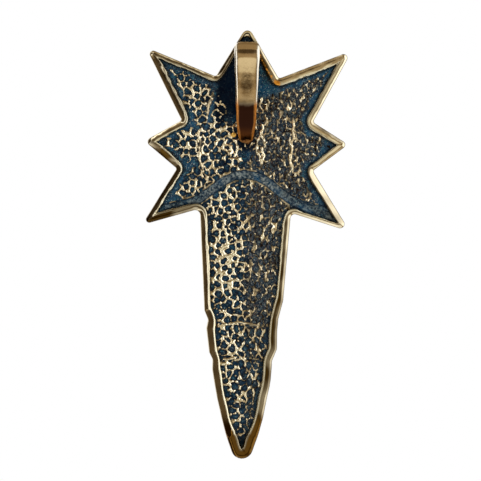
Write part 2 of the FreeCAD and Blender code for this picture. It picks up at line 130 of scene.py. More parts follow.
def mesh_object(name, verts, faces, material):
    """A smooth mesh object from points in millimetres (x, y, z)."""
    mesh = bpy.data.meshes.new(name)
    mesh.from_pydata(np.asarray(verts) * MM, [], faces, shade_flat=False)
    mesh.materials.append(material)
    return add_object(name, mesh)


def make_piece(name, node, material, verts, faces, marks):
    """A mesh object that takes the place of a CAD node; marks holds named numbers, one for each point."""
    piece = mesh_object(name, verts, faces, material)
    for key, values in marks.items():
        layer = piece.data.attributes.new(key, "FLOAT", "POINT")
        layer.data.foreach_set("value", np.asarray(values, np.float32))
    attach(piece, "root")
    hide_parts(node)


def ring_faces(count, rings):
    """Four-sided faces that join closed rings of count points, one ring to the next."""
    here = np.arange(count)
    after = (here + 1) % count
    strip = np.column_stack([here, after, after + count, here + count])
    return [row for k in range(rings - 1) for row in strip + k * count]


# --- outline ---

# Corners of the sharp outline, clockwise from the top tip: x, drop, rounding radius.
OUTLINE_CORNERS = [
    (0, -0.88, 0.86), (4.49, 6.56, 0.31), (14.8, 2.44, 0.62),
    (9.42, 12.62, 0.3), (14.42, 15.7, 0.62), (9.5, 19.48, 0.33),
    (14.88, 27.99, 0.67), (6.5, 25.45, 0.56), (5.6, 37.7, 1.5),
    (4.97, 40.19, 0.8), (4.83, 41.87, 1.2), (4.83, 44.47, 0.9),
    (4.16, 46.15, 0.8), (4.14, 47, 1.5), (3.99, 49.23, 6),
    (3.56, 51.17, 6), (3.03, 54.1, 6), (2.4, 56.5, 6),
    (0.12, 63.1, 1.6), (-2.24, 56.6, 6), (-2.92, 54.07, 6),
    (-3.56, 51.5, 6), (-4.02, 49.09, 6), (-4.3, 47.45, 2),
    (-4.29, 46, 0.8), (-4.77, 45.04, 0.9), (-5.21, 41.64, 1),
    (-4.98, 40.5, 0.8), (-5.52, 39.19, 0.9), (-6.35, 25.05, 0.64),
    (-14.51, 27.48, 0.53), (-9.67, 19.43, 0.3), (-14.29, 15.62, 0.65),
    (-9.1, 12.65, 0.29), (-14.31, 2.41, 0.56), (-4.36, 6.39, 0.3),
]

# Finish of the rim, clockwise from the top tip: how many edges in a row have it, the rim's width there, the
# share of it that is bevelled, the brown on its outer and on its inner half (partly tarnish, partly painted
# shade), and the strength of the painted highlight line along its inner side.
RIM_FINISH = [
    (1, 1.1, 0.35, 0.35, 1, 0),  # top point, right side
    (1, 1.15, 0.6, 0, 0.05, 1),  # upper right point, top
    (1, 1, 0.5, 0.3, 0.55, 0.2),  # upper right point, right side
    (1, 1.05, 0.5, 0.8, 0, 0.5),  # middle right point, top
    (1, 0.9, 0.45, 0, 0.1, 0.3),  # middle right point, bottom
    (1, 1, 1.3, 0.4, 0.5, 0.1),  # lower right point, right side
    (1, 0.6, 1, 0, 0, 0.95),  # lower right point, bottom
    (1, 1.05, 0.45, 0.45, 0.85, 1),  # blade's first tier, right side
    (9, 1.2, 0.35, 0.75, 0.95, 0.65),  # the rest of the blade's right side
    (2, 1.5, 0.4, 0.95, 0.95, 0.25),  # blade's end
    (7, 1.2, 1.6, 0.1, 0.15, 1),  # blade's left side up to the first notch
    (1, 1.25, 1.6, 0.5, 0.5, 1),  # in the notch
    (1, 1.15, 1.6, 0.05, 0.35, 1),  # above the notch
    (1, 1, 1.15, 0.25, 0.5, 0.9),  # blade's first tier, left side
    (1, 1.05, 0.6, 0.95, 1, 0.3),  # lower left point, bottom
    (1, 0.9, 1.6, 0.85, 0.7, 1),  # lower left point, left side
    (1, 1.1, 1.3, 0.9, 0.95, 0.55),  # middle left point, bottom
    (1, 0.9, 0.6, 0.1, 0.7, 0.95),  # middle left point, top
    (1, 1.15, 1.3, 0.3, 0.8, 0.45),  # upper left point, left side
    (1, 0.75, 0.6, 0, 0.8, 0.6),  # upper left point, top
    (1, 0.85, 1, 0.9, 1, 0.1),  # top point, left side
]
EDGE_FINISH = np.array([finish for edges, *finish in RIM_FINISH for _ in range(edges)])

CORNERS = np.array([(x, -drop) for x, drop, _ in OUTLINE_CORNERS])
RADII = np.array([radius for _, _, radius in OUTLINE_CORNERS])
COUNT = len(CORNERS)
EDGE_WAY = np.roll(CORNERS, -1, 0) - CORNERS
EDGE_LENGTH = np.linalg.norm(EDGE_WAY, axis=1)
EDGE_WAY /= EDGE_LENGTH[:, None]
EDGE_NORMAL = np.stack([EDGE_WAY[:, 1], -EDGE_WAY[:, 0]], 1)  # points into the pendant
NORMAL_IN = np.roll(EDGE_NORMAL, 1, 0)
TURN = NORMAL_IN[:, 0] * EDGE_NORMAL[:, 1] - NORMAL_IN[:, 1] * EDGE_NORMAL[:, 0]
CONVEX = TURN < 0
MITRE = (NORMAL_IN + EDGE_NORMAL) / (1 + (NORMAL_IN * EDGE_NORMAL).sum(1))[:, None]
SHARPEST = 0.04  # radius that an inner corner keeps when its rounding is used up
CORNER_STEP = math.radians(9)  # the most that a loop turns from one point to the next
LOOP_SPACING = 0.21  # between the points of a loop along its straight stretches


def corner_point(corner, normal, d):
    """Point on the loop at distance d inside the outline, at a corner, where the loop's normal is normal."""
    base = CORNERS[corner]
    mitre = MITRE[corner]
    radius = RADII[corner]
    left = np.maximum(radius - d, SHARPEST)
    inner = base + mitre * (d + left)[:, None] - normal * left[:, None]
    outer = base - mitre * radius[:, None] + normal * (radius + d)[:, None]
    return np.where(CONVEX[corner][:, None], inner, outer)


def loop_layout():
    """For each point of a loop its two corners, the normals there and its share of the way between them."""
    rows = []
    for i in range(COUNT):
        a, b = NORMAL_IN[i], EDGE_NORMAL[i]
        angle = math.acos(np.clip(a @ b, -1, 1))
        steps = max(1, int(math.ceil(angle / CORNER_STEP)))
        start = math.atan2(a[1], a[0])
        sweep = angle * (-1 if CONVEX[i] else 1)
        for k in range(steps + 1):
            turn = start + sweep * k / steps
            normal = (math.cos(turn), math.sin(turn))
            rows.append((i, normal, i, normal, (0,)))
        j = (i + 1) % COUNT
        pieces = max(2, int(EDGE_LENGTH[i] / LOOP_SPACING))
        for k in range(1, pieces):
            rows.append((i, b, j, b, (k / pieces,)))
    return [np.array(column) for column in zip(*rows)]


LAYOUT = loop_layout()
TRIM = 0.06  # how far the cast edge stays inside the drawn outline


def loop(d):
    """The loop at distance d inside the outline; d is a number or one number for each point."""
    a, na, b, nb, share = LAYOUT
    d = np.broadcast_to(np.asarray(d, float) + TRIM, a.shape)
    return corner_point(a, na, d) * (1 - share) + corner_point(b, nb, d) * share


OUTLINE = loop(0)


def closed_average(values, reach):
    """Running average round a loop."""
    kernel = np.hanning(2 * reach + 3)[1:-1]
    kernel /= kernel.sum()
    padded = np.concatenate([values[-reach:], values, values[:reach]])
    return np.convolve(padded, kernel, "valid")


def along_rim(values, reach=5):
    """One number for each point of the loop from one for each edge, blended round the corners."""
    first, second = LAYOUT[0], LAYOUT[2]
    at_corner = (values + np.roll(values, 1)) / 2
    return closed_average(np.where(first == second, at_corner[first], values[first]), reach)


def rim_width():
    """Width of the rim at each point of the loop, narrower at the top tip and slightly uneven."""
    x, drop = OUTLINE[:, 0], -OUTLINE[:, 1]
    width = along_rim(EDGE_FINISH[:, 0])
    width = width - 0.58 * fade(drop, 1.6, 3.6) * (np.abs(x) < 4)
    hand = Waves(11, 5)(OUTLINE) * 0.04 + Waves(12, 1.6)(OUTLINE) * 0.018
    return width + hand * smooth(width, 0.3, 0.9)


RIM = rim_width()
BEVEL, BROWN_OUT, BROWN_IN, PAINTED_HIGHLIGHT_LINE = (along_rim(column) for column in EDGE_FINISH[:, 1:].T)
CREST = 0.8  # share of the rim's width where it is highest
INNER_SHARE = [CREST, 0.86, 0.91, 0.95, 0.98, 1]
INNER_DEPTH = [0, 0.03, 0.075, 0.15, 0.3, 0.55]  # of the rim's inner slope at these shares of its width
EDGE_WOBBLE = Waves(52, 1.3)(OUTLINE) * 0.03 + Waves(53, 0.6)(OUTLINE) * 0.012


def rim_ring(share):
    """Loop at a share of the rim's width from the edge; low on the blade its inner part is smoother."""
    ring = loop(RIM * share + EDGE_WOBBLE * smooth(share, 0.6, 1))
    drop = -OUTLINE[:, 1]
    amount = smooth(share, 0.35, 0.8) * between(drop, 35.5, 37.5, 55.5, 57)
    average = np.column_stack([closed_average(ring[:, 0], 6), closed_average(ring[:, 1], 6)])
    return ring + (average - ring) * amount[:, None]


def rim_depth(share):
    """Depth of the rim's surface below its crest round the loop, at a share of its width from the edge."""
    if share >= CREST:
        return np.full(len(RIM), np.interp(share, INNER_SHARE, INNER_DEPTH))
    steps = np.linspace(share, CREST, 16)[:, None]
    slope = 0.08 + 0.95 * fade(steps / BEVEL) + 1.2 * fade(steps, 0, 0.1)
    return slope.mean(0) * (CREST - share) * RIM


# --- fields over the back: rim, floor, texture ---


def nearest_on(ring, p):
    """Distance from each point to the nearest point of the ring, and that point's number."""

    def search(part):
        gap = ((part[:, None] - ring[None]) ** 2).sum(2)
        nearest = gap.argmin(1)
        return np.column_stack([np.sqrt(gap[np.arange(len(part)), nearest]), nearest])

    distance, number = in_chunks(search, p).T
    return distance, number.astype(int)


def inside_rim(p):
    """Distance from each point to the rim's inner edge, negative on the rim."""
    distance, nearest = nearest_on(OUTLINE, p)
    return distance - RIM[nearest]


def points_within(ring, p, margin):
    """The points that lie inside the ring, at least the margin away from it."""
    p = p[point_inside(p, ring)]
    return p[nearest_on(ring, p)[0] > margin]


# Middle line of the arch channel, the same on both sides.
ARCH_X = [0, 1.5, 3, 4.5, 6.3, 9, 12.6]
ARCH_DROP = [20.1, 20.35, 21.05, 22.2, 23.55, 24.75, 25.9]


def arch_offset(p):
    """Signed distance below the arch channel's middle line."""
    x, drop = np.abs(p[:, 0]), -p[:, 1]
    x = np.sqrt(x * x + 0.09) - 0.3 * np.exp(-x)
    middle = np.interp(x, ARCH_X, ARCH_DROP)
    slope = (np.interp(x + 0.4, ARCH_X, ARCH_DROP) - np.interp(x - 0.4, ARCH_X, ARCH_DROP)) / 0.8
    return (drop - middle) / np.sqrt(1 + slope**2)


def arch_half_width(p):
    """Half of the channel's width; it opens out towards its two ends."""
    return 0.6 + 0.35 * smooth(np.abs(p[:, 0]), 7.5, 11.5)


# Creases along the two sides of the oval hollow: drop and distance from the middle.
LEFT_CREASE = [(8, 4.5), (12.4, 5.5), (14.4, 6.3), (17, 6.4), (18.6, 6.1), (21.2, 5.1)]
RIGHT_CREASE = [(8, 4.4), (12.4, 6.5), (14.4, 6.45), (16.5, 6.3), (18.4, 6.2), (21.6, 5.3)]


def hollow_side(p):
    """Signed distance outside the oval hollow's crease; it is negative in the hollow."""
    x, drop = x_and_drop(p)
    left = np.interp(drop, *zip(*LEFT_CREASE))
    right = np.interp(drop, *zip(*RIGHT_CREASE))
    return np.where(x < 0, -x - left, x - right)


RIPPLE = Waves(21, 4.5)
RIPPLE_FINE = Waves(22, 1.8)
HOLLOW_HALF_WIDTH = [(4, 2.2), (10, 5.2), (14, 6.3), (19, 6.1), (22, 5.1)]  # at each drop
DIMPLE_DROP = 17.4  # small dimple in the hollow with a ring of pleats round it
PLEATS = 13
FIRST_TIER, SECOND_TIER = 40.85, 45.8  # drops of the two steps between the blade's tiers
# The blade's trough: its depth and half-width at each drop.
TROUGH_DEPTH = [
    (20, 0.35), (26, 0.55), (34, 0.7), (41, 0.62), (41.6, 0.5),
    (45.9, 0.45), (46.5, 0.36), (52, 0.3), (58, 0.1),
]
TROUGH_HALF_WIDTH = [
    (20, 5.2), (28, 5.3), (34, 4.9), (39, 4.4), (44, 3.6),
    (47, 3.1), (51, 2.5), (55, 1.6), (58, 0.5),
]


def floor_depth(p, inside):
    """Depth of the bare floor below the rim, before its texture; inside is the distance from the rim."""
    x, drop = x_and_drop(p)
    head = 0.82 + 0.1 * smooth(inside, 0, 2.5)
    dish = unit(1 - (x / np.interp(drop, *zip(*HOLLOW_HALF_WIDTH))) ** 2)
    along = smooth(drop, 3, 9.5) * (1 - smooth(drop, 15.5, 20.5) * 0.85)
    hollow = 0.88 * dish * along + 0.35 * spot(p, 0, 15.3, 1.5)
    lip = np.where(x < 0, -0.04, -0.1) * bump(hollow_side(p), 0.12, 0.3) * between(drop, 8, 9.5, 20.8, 22)
    reach = np.hypot(x, drop - DIMPLE_DROP)
    angle = np.arctan2(drop - DIMPLE_DROP, x)
    dimple = 0.18 * bump(reach, 0, 0.8) + 0.06 * np.cos(angle * PLEATS) * bump(reach, 2, 1.1)
    half = np.interp(drop, *zip(*TROUGH_HALF_WIDTH))
    trough = np.interp(drop, *zip(*TROUGH_DEPTH)) * unit(1 - np.sqrt((x / half) ** 2 + 0.02))
    step_drop = drop - 0.1 * np.abs(x)
    steps = -0.12 * (bump(step_drop, FIRST_TIER, 0.28) + bump(step_drop, SECOND_TIER, 0.28))
    blade = 0.86 + trough + steps * smooth(inside, 0, 0.5)
    below = arch_offset(p)
    share = smooth(below, -0.2, 0.2)
    depth = (head + hollow + lip + dimple * (1 - share)) * (1 - share) + blade * share
    width = arch_half_width(p)
    groove = 0.3 * unit(1 - (below / width) ** 2)
    lips = -0.1 * (bump(below, -width - 0.12, 0.2) + bump(below, width + 0.1, 0.18))
    depth = depth + groove + lips * fade(np.abs(x), 8, 11)
    depth = depth * smooth(drop + 0.08 * np.cos(x * 5), 0.86, 1.04)
    return depth + RIPPLE(p) * 0.05 * smooth(inside, 0, 1.5) + RIPPLE_FINE(p) * 0.02


EDGE_NOISE = Waves(31, 2.6)
PATCH_NOISE = Waves(32, 5.5)
PIT_TRIES = 26000  # places tried for pits
PIT_RADIUS = (0.31, 0.53)  # least and greatest
SEAM_X = 0.3  # left of it the pits are nearly round, right of it they are long and upright
LEFT_STRETCH = (1, 1.35)
RIGHT_STRETCH = (1.4, 2.3)
BRIDGE_SIZE = (0.2, 1.6)  # radius and stretch of the short channel that joins some pits to the nearest one
FAR = 99  # more than any distance on the pendant
PIT_CELL = 1.3  # cell of the grid in which a pit's neighbours are looked up, wider than any gap


def texture_strength(p, inside):
    """How strongly the ridges stand out: 1 on the open floor, 0 in smooth margins and the channel."""
    x, drop = x_and_drop(p)
    noise = EDGE_NOISE(p)
    below = arch_offset(p)
    head_margin = 0.5 + 0.28 * noise
    blade_margin = 0.06 + 0.06 * noise
    margin = np.where(below > 0.3, blade_margin, head_margin)
    strength = smooth(inside, margin - 0.1, margin + 0.35)
    strength *= smooth(np.abs(below) - arch_half_width(p), 0, 0.3)
    top_point = smooth(drop + 0.35 * noise, 8.4, 10.2) + smooth(np.where(x < 0, -x - 0.6, x), 4, 4.7)
    strength *= unit(top_point)
    beside_strap = bump(x, -2.1, 1.1) * fade(drop, 12.2, 13.8)
    strength *= 1 - unit(beside_strap * 1.2)
    strength *= 1 - 0.95 * spot(p, 0, 17.3, 0.95)
    arms = 0.8 * bump(drop, 13.3 + 0.2 * noise, 0.4) + 0.8 * bump(drop, 18.9 + 0.3 * noise, 0.6)
    strength *= 1 - unit(arms * smooth(-x, 6.2, 7.2))
    strength *= 1 - 0.9 * bump(hollow_side(p), -0.3, 0.32) * (x < 0) * fade(drop, 12.5, 14)
    low_margin = smooth(drop, 22.5, 24.2) * (below < 0) * fade(inside, 0.9, 1.8)
    return strength * (1 - unit(low_margin))


def in_flats(x, z):
    """True in the small area left of the blade's middle where the pits are smaller and farther apart."""
    return (z > -36.5) & (z < -29.8) & (x > -4.4) & (x < -1)


def pit_gap(x, z, first_pass):
    """Least distance from a pit at this place to the others; a second pass fills in what stays open."""
    upper_right = x > SEAM_X and z > -24
    if in_flats(x, z):
        gap = 0.9
    elif upper_right:
        gap = 0.74
    else:
        gap = 0.8 if z > -39 else 0.84
    if first_pass:
        return gap
    return gap * (0.8 if upper_right else 0.92)


def scatter_pits():
    """Pits in the floor and a few bridges between them: centre, radius, stretch and direction of each."""
    rng = np.random.default_rng(7)
    tries = np.stack([rng.uniform(-14, 14, PIT_TRIES), -rng.uniform(1, 59, PIT_TRIES)], 1)
    room = inside_rim(tries)
    keep = (room > 0.05) & point_inside(tries, OUTLINE)
    tries, room = tries[keep], room[keep]
    tries = tries[texture_strength(tries, room) > 0.3]
    kept = []
    grid = {}
    around = [(i, j) for i in (-1, 0, 1) for j in (-1, 0, 1)]
    for first_pass in (True, False):
        for x, z in tries:
            gap = pit_gap(x, z, first_pass)
            column, row = int(x // PIT_CELL), int(z // PIT_CELL)
            near = [q for i, j in around for q in grid.get((column + i, row + j), [])]
            if all((x - qx) ** 2 + (z - qz) ** 2 > gap * gap for qx, qz in near):
                grid.setdefault((column, row), []).append((x, z))
                kept.append((x, z))
    centres = np.array(kept)
    x, z = centres.T
    count = len(centres)
    gaps = np.sqrt(((centres[:, None] - centres[None]) ** 2).sum(2)) + np.eye(count) * FAR
    room = np.sort(gaps, 1)[:, :3].mean(1)
    radius = np.clip(room * 0.5 + np.where(z < -22, 0.05, 0.01), *PIT_RADIUS) * rng.uniform(0.93, 1.07, count)
    flats = in_flats(x, z)
    radius = np.where(flats, np.clip(radius, 0, 0.4), radius)
    left = x < SEAM_X
    stretch = np.where(left, rng.uniform(*LEFT_STRETCH, count), rng.uniform(*RIGHT_STRETCH, count))
    turn = np.where(left, rng.uniform(0, np.pi, count), np.pi / 2 + rng.normal(0, 0.3, count))
    bridges = []
    for i in range(count):
        j = int(gaps[i].argmin())
        if rng.random() < (0.04 if flats[i] else 0.12):
            middle = (centres[i] + centres[j]) / 2
            way = centres[j] - centres[i]
            bridges.append((*middle, *BRIDGE_SIZE, math.atan2(way[1], way[0])))
    return np.column_stack([centres, radius, stretch, turn]), np.array(bridges)


def point_inside(p, ring):
    """True for points inside the ring."""
    odd = np.zeros(len(p), bool)
    for (ax, az), (bx, bz) in zip(ring, np.roll(ring, -1, 0)):
        if az == bz:
            continue
        crosses = (az > p[:, 1]) != (bz > p[:, 1])
        at = ax + (p[:, 1] - az) / (bz - az) * (bx - ax)
        odd ^= crosses & (p[:, 0] < at)
    return odd


PITS, BRIDGES = scatter_pits()
WARP_X = Waves(41, 1.5)
WARP_Z = Waves(42, 1.5)
GRAIN = Waves(43, 0.55)
STREAKS = Waves(73, 0.55, 3)
RIDGE_NOISE = Waves(44, 2.4)


def ellipse_distances(p, table):
    """Rough signed distance from each point to each ellipse of the table."""
    cos, sin = np.cos(table[:, 4]), np.sin(table[:, 4])
    dx = p[:, None, 0] - table[None, :, 0]
    dz = p[:, None, 1] - table[None, :, 1]
    along = (dx * cos + dz * sin) / table[:, 3] ** 0.5
    across = (dz * cos - dx * sin) * table[:, 3] ** 0.5
    return np.sqrt(along**2 + across**2) - table[:, 2]


def pit_distance(p):
    """Signed distance outside the pits, which always leave a thin ridge between one and the next."""
    x, drop = x_and_drop(p)
    half_ridge = 0.088 + 0.05 * RIDGE_NOISE(p) - 0.02 * smooth(x, 0, 1)
    half_ridge += 0.004 * smooth(drop, 22, 25)
    half_ridge += 0.02 * smooth(-x, 2.5, 4.5) * fade(drop, 20, 23)

    def measure(part, ridge):
        nearest = np.partition(ellipse_distances(part, PITS), 1, 1)
        first, second = nearest[:, 0], nearest[:, 1]
        pit = np.maximum(first, ridge - (second - first) / 2)
        return np.minimum(pit, ellipse_distances(part, BRIDGES).min(1))

    warped = p + np.stack([WARP_X(p), WARP_Z(p)], 1) * 0.07
    return in_chunks(measure, warped, np.maximum(half_ridge, 0.06)) + GRAIN(p) * 0.03


def crease_line(p):
    """1 on the thin raised crease along the two sides of the oval hollow."""
    drop = -p[:, 1]
    sides = bump(hollow_side(p) + 0.1 * WARP_X(p), 0.12 + 0.08 * EDGE_NOISE(p), 0.17 + 0.05 * WARP_Z(p))
    start = np.where(p[:, 0] < 0, 8, 11.3)
    return sides * smooth(drop - start, 0, 1) * fade(drop, 20.5, 22)


def tier_ridges(p, inside):
    """1 on the two thin ridges across the blade, where its tiers meet."""
    x, drop = np.abs(p[:, 0] + 0.4), -p[:, 1]
    upper = bump(drop - 0.08 * x + 0.12 * EDGE_NOISE(p), 40.95, 0.17)
    lower = bump(drop - 0.05 * x + 0.12 * WARP_Z(p), 45.85, 0.17)
    broken = smooth(GRAIN(p) + 0.5 * EDGE_NOISE(p), -0.75, -0.35)
    return (upper + lower) * broken * smooth(inside, 0, 0.3)


# Short bright ridges: x of the middle, drop of the two ends, lean and bend.
SHORT_STREAKS = [
    (2.25, 12.9, 15.5, -0.12, 0.18),
    (2.75, 12.7, 13.2, 0.6, 0),
    (-1.3, 16, 17.7, 0.2, 0.08),
    (-2.15, 16, 17.4, 0.3, 0.08),
    (-3, 15.2, 16.6, 0.3, 0.1),
    (1.75, 16, 18.2, -0.2, 0.15),
    (2.4, 16.2, 18.6, 0, 0.15),
]


def short_streaks(p):
    """1 on a few short bright ridges near the strap's foot and the dimple below it."""
    x, drop = x_and_drop(p)
    out = np.zeros(len(p))
    for x0, top, bottom, lean, bend in SHORT_STREAKS:
        middle = x0 - lean * (drop - (top + bottom) / 2) + bend * np.cos(drop * 3.1 + x0)
        along = between(drop, top - 0.15, top + 0.15, bottom - 0.15, bottom + 0.15)
        out = np.maximum(out, bump(x, middle, 0.17) * along)
    return out


def crease_polish(p):
    """How bright the crease is rubbed: a gold streak on the right, brown with gold on the left."""
    drop = -p[:, 1]
    right = between(drop, 12, 13, 18.3, 19.3)
    right *= 0.75 + 0.35 * WARP_Z(p)
    return unit(np.where(p[:, 0] > 0, 0.22 + 0.78 * right, 0.5 + 0.25 * EDGE_NOISE(p)))


def polish_level(p):
    """How well the ridges are rubbed bright, which at the top of its range also pales them into a painted
    highlight: more on the left, patchy and dull on the right.
    """
    x, drop = x_and_drop(p)
    level = 1 - 0.5 * smooth(x, -0.6, 1.2)
    level += 0.5 * smooth(x, 2.6, 3.5) * between(drop, 25.5, 28, 40, 44)
    level += 0.4 * smooth(drop, 40.5, 43.5)
    level += 0.55 * bump(hollow_side(p), 0.15, 0.35) * (x > 0) * between(drop, 12, 13.5, 18, 19.5)
    level += 0.8 * bump(x, 2.3, 0.35) * bump(drop, 14.2, 1.4)
    level += 1.5 * bump(x, -1.9, 1.5) * bump(drop, 18.9, 0.9)
    level -= 0.6 * bump(x, -3.9, 1.5) * bump(drop, 18.2, 2.6)
    level -= 0.6 * bump(x, -1.9, 1.4) * bump(drop, 16.3, 1.5)
    level -= 0.5 * (x < -4.2) * bump(drop, 20.3, 1.3)
    level += 0.8 * spot(p, 9.2, 7.4, 2.6)
    level += PATCH_NOISE(p) * 0.12 + EDGE_NOISE(p) * 0.12
    level += 0.55 * smooth(-x, -0.2, 1)
    level += 0.65 * STREAKS(p) * smooth(x, 0, 1.2)
    return np.clip(level, 0.36, 1.5)


# --- meshes ---


def to_space(p, depth):
    """Space coordinates in millimetres of plane points at the given depths."""
    return np.column_stack([p[:, 0], RIM_Y + np.broadcast_to(depth, len(p)), TOP_Z + p[:, 1]])


def hex_points(spacing, jitter, seed):
    """Jittered hexagonal grid over the pendant's box."""
    rng = np.random.default_rng(seed)
    xs = np.arange(-14.6, 14.6, spacing)
    zs = np.arange(-60.2, 0.3, spacing * 0.866)
    x, z = np.meshgrid(xs, zs)
    x = x + (np.arange(len(zs)) % 2 * spacing / 2)[:, None]
    p = np.column_stack([x.ravel(), z.ravel()])
    return p + rng.uniform(-jitter, jitter, p.shape) * spacing


DOUBTFUL_LENGTH = 0.6  # triangles with a longer side are tested for lying inside the border
CUT_LENGTH = 1e-6  # points closer than this count as one


def fill(border, spacing, jitter, seed, margin):
    """Triangles inside the border: the points added and the faces; the border's points keep their numbers."""
    inner = points_within(border, hex_points(spacing, jitter, seed), margin)
    count = len(border)
    points = [Vector(q) for q in np.concatenate([border, inner])]
    edges = [(i, (i + 1) % count) for i in range(count)]
    verts, _, faces, origins, _, _ = delaunay_2d_cdt(points, edges, [], 1, CUT_LENGTH, True)
    verts = np.array([tuple(v) for v in verts])
    faces = np.array([f for f in faces if len(f) == 3])
    number = np.full(len(verts), -1)
    for i, source in enumerate(origins):
        ring = [s for s in source if s < count]
        if ring:
            number[i] = ring[0]
    fresh = np.flatnonzero(number < 0)
    number[fresh] = count + np.arange(len(fresh))
    corners = verts[faces]
    longest = np.linalg.norm(corners - np.roll(corners, 1, 1), axis=2).max(1)
    doubtful = (number[faces] < count).all(1) | (longest > DOUBTFUL_LENGTH)
    keep = ~doubtful
    keep[doubtful] = point_inside(corners[doubtful].mean(1), border)
    (ux, uz), (vx, vz) = (corners[:, 1] - corners[:, 0]).T, (corners[:, 2] - corners[:, 0]).T
    faces = np.where((ux * vz - uz * vx < 0)[:, None], faces[:, ::-1], faces)
    return verts[fresh], number[faces[keep]]


BOSS_DROP = 13.6  # middle of the oval boss on the show face
BOSS_RADII = (6.2, 6.7)  # across and down
ROPE_TURNS = 40  # strands of the rope ring round the boss
RIB_SPACING = 4.6  # between the ribs of the blade's show face


def show_height(p):
    """Height of the show face's relief above the plate: faceted points, boss, band and a ribbed blade."""
    distance, _ = nearest_on(OUTLINE, p)
    x, drop = x_and_drop(p)
    roof = 0.34 * np.clip(distance - 0.75, 0, 3.2)
    border = 0.22 * fade(distance, 0.45, 0.75)
    side, down = x / BOSS_RADII[0], (drop - BOSS_DROP) / BOSS_RADII[1]
    reach = np.hypot(side, down)
    boss = np.where(reach < 1, 1 + 0.85 * np.sqrt(unit(1 - reach**2)), 0) - 0.2 * bump(reach, 0.72, 0.05)
    seat = fade(reach, 1.13, 1.2)
    strands = np.cos(np.arctan2(down, side) * ROPE_TURNS + reach * 30)
    rope = 0.3 * bump(reach, 1.065, 0.05) * (1 + 0.28 * strands)
    below = arch_offset(p)
    ends = smooth(distance, 0.75, 1.1) * fade(np.abs(x), 9.5, 11.5)
    band = 1.45 * fade(np.abs(below), 0.5, 0.85) * ends
    height = np.maximum(np.maximum(np.maximum(roof, seat), boss) + rope, band)
    tier = (drop - 0.55 * np.abs(x) - 28.5) % RIB_SPACING
    rib = 0.2 * fade(np.abs(tier - RIB_SPACING / 2), 0.25, 0.5) * (np.abs(x) < 7)
    rib = rib * smooth(below, 0.9, 1.2) * smooth(distance, 0.8, 1.2)
    keel = 0.3 * unit(1 - np.abs(x) / 0.5) * smooth(below, 0.8, 1.2) * smooth(distance, 0.7, 1.3)
    return height + border + rib + keel


LEFT_VALLEY = (-5, 7.1)  # x and drop where the rims of the top and the upper left point meet


def tarnish(ring, share):
    """Brown on the rim at a share of its width, partly tarnish and partly painted shade, blotchy; the darkest
    band at the very edge is painted shade, while the paler line along the inner side and the bright spot in
    the left valley are painted highlights.
    """
    brown = BROWN_OUT + (BROWN_IN - BROWN_OUT) * smooth(share, 0.22, 0.5)
    blotch = 0.1 * PATCH_NOISE(ring) + 0.08 * EDGE_NOISE(ring)
    # Painted highlight: no brown round the left valley.
    painted_valley_highlight = spot(ring, *LEFT_VALLEY, 1)
    brown = unit(brown + blotch) * smooth(-ring[:, 1], 0.6, 2) * (1 - painted_valley_highlight)
    # Painted highlight line: less brown along the rim's inner side.
    brown = brown + (1 - PAINTED_HIGHLIGHT_LINE - brown) * smooth(share, 0.68, 0.77)
    # Painted shade: dark band at the very outer edge.
    return np.maximum(brown, 0.75 * fade(share, 0.03, 0.12))


def end_brown(ring, share):
    """Warm even brown on the rim round the blade's end."""
    return smooth(-ring[:, 1], 53, 55.5) * fade(share, 0.7, 0.8)


def amber_stain(ring, share):
    """Amber heat stain on the rim: beside the foot of the top point's right side and fainter along it."""
    x, drop = x_and_drop(ring)
    trail = 0.42 * bump(share, 0.66, 0.25) * between(drop, 2.8, 3.6, 6.6, 7.4) * (x > 1) * (x < 5)
    return np.maximum(0.8 * spot(ring, 4.2, 7.25, 0.6), trail) * smooth(share, 0.15, 0.45)


# Rings of the rim from its foot on the floor to the outline, as shares of its width.
RIM_SHARES = [1.045, 1, 0.98, 0.95, 0.91, 0.86, 0.8, 0.75, 0.68, 0.6, 0.5, 0.4, 0.3, 0.2, 0.11, 0.05, 0]
# Rings of the outer wall and the rounded edge of the show face: distance inside the outline and depth.
WALL_RINGS = [(0, 1.05), (0, 1.45), (0.05, 1.6), (0.16, 1.73), (0.34, EDGE_THICKNESS)]
WALL_TARNISH = 0.15
RIM_WAVER = Waves(51, 3)
RIM_DENTS = Waves(54, 0.8)


def rim_rings():
    """Rings over the rim, the outer wall and the show face's edge: their depths and the marks on them."""
    rings, depths = [], []
    marks = {"polish": [], "tarnish": [], "amber": [], "warm": []}

    def append(ring, depth, **values):
        rings.append(ring)
        depths.append(np.broadcast_to(depth, len(ring)))
        for key, column in marks.items():
            column.append(np.broadcast_to(values.get(key, 0), len(ring)))

    for share in RIM_SHARES:
        ring = rim_ring(share)
        if share > 1:
            depth = floor_depth(ring, inside_rim(ring))
            polish = 0
        else:
            depth = rim_depth(share) + RIM_WAVER(OUTLINE) * 0.025 + RIM_DENTS(ring) * 0.004
            if 0 < share < CREST:
                depth = depth * (1 - 0.7 * fade(-ring[:, 1], 1.4, 2.8))
                depth = depth * (1 - 0.8 * spot(ring, *LEFT_VALLEY, 0.9))
            # The inner line's extra polish pales it: a painted highlight.
            polish = 0.85 + 0.4 * PAINTED_HIGHLIGHT_LINE * (0.7 < share < 0.97)
        brown, amber, warm = (stain(ring, share) for stain in (tarnish, amber_stain, end_brown))
        append(ring, depth, polish=polish, tarnish=brown, amber=amber, warm=warm)
    for distance, depth in WALL_RINGS:
        append(loop(distance), depth, polish=1, tarnish=WALL_TARNISH)
    depths[-1] = EDGE_THICKNESS + show_height(rings[-1])
    return rings, depths, marks


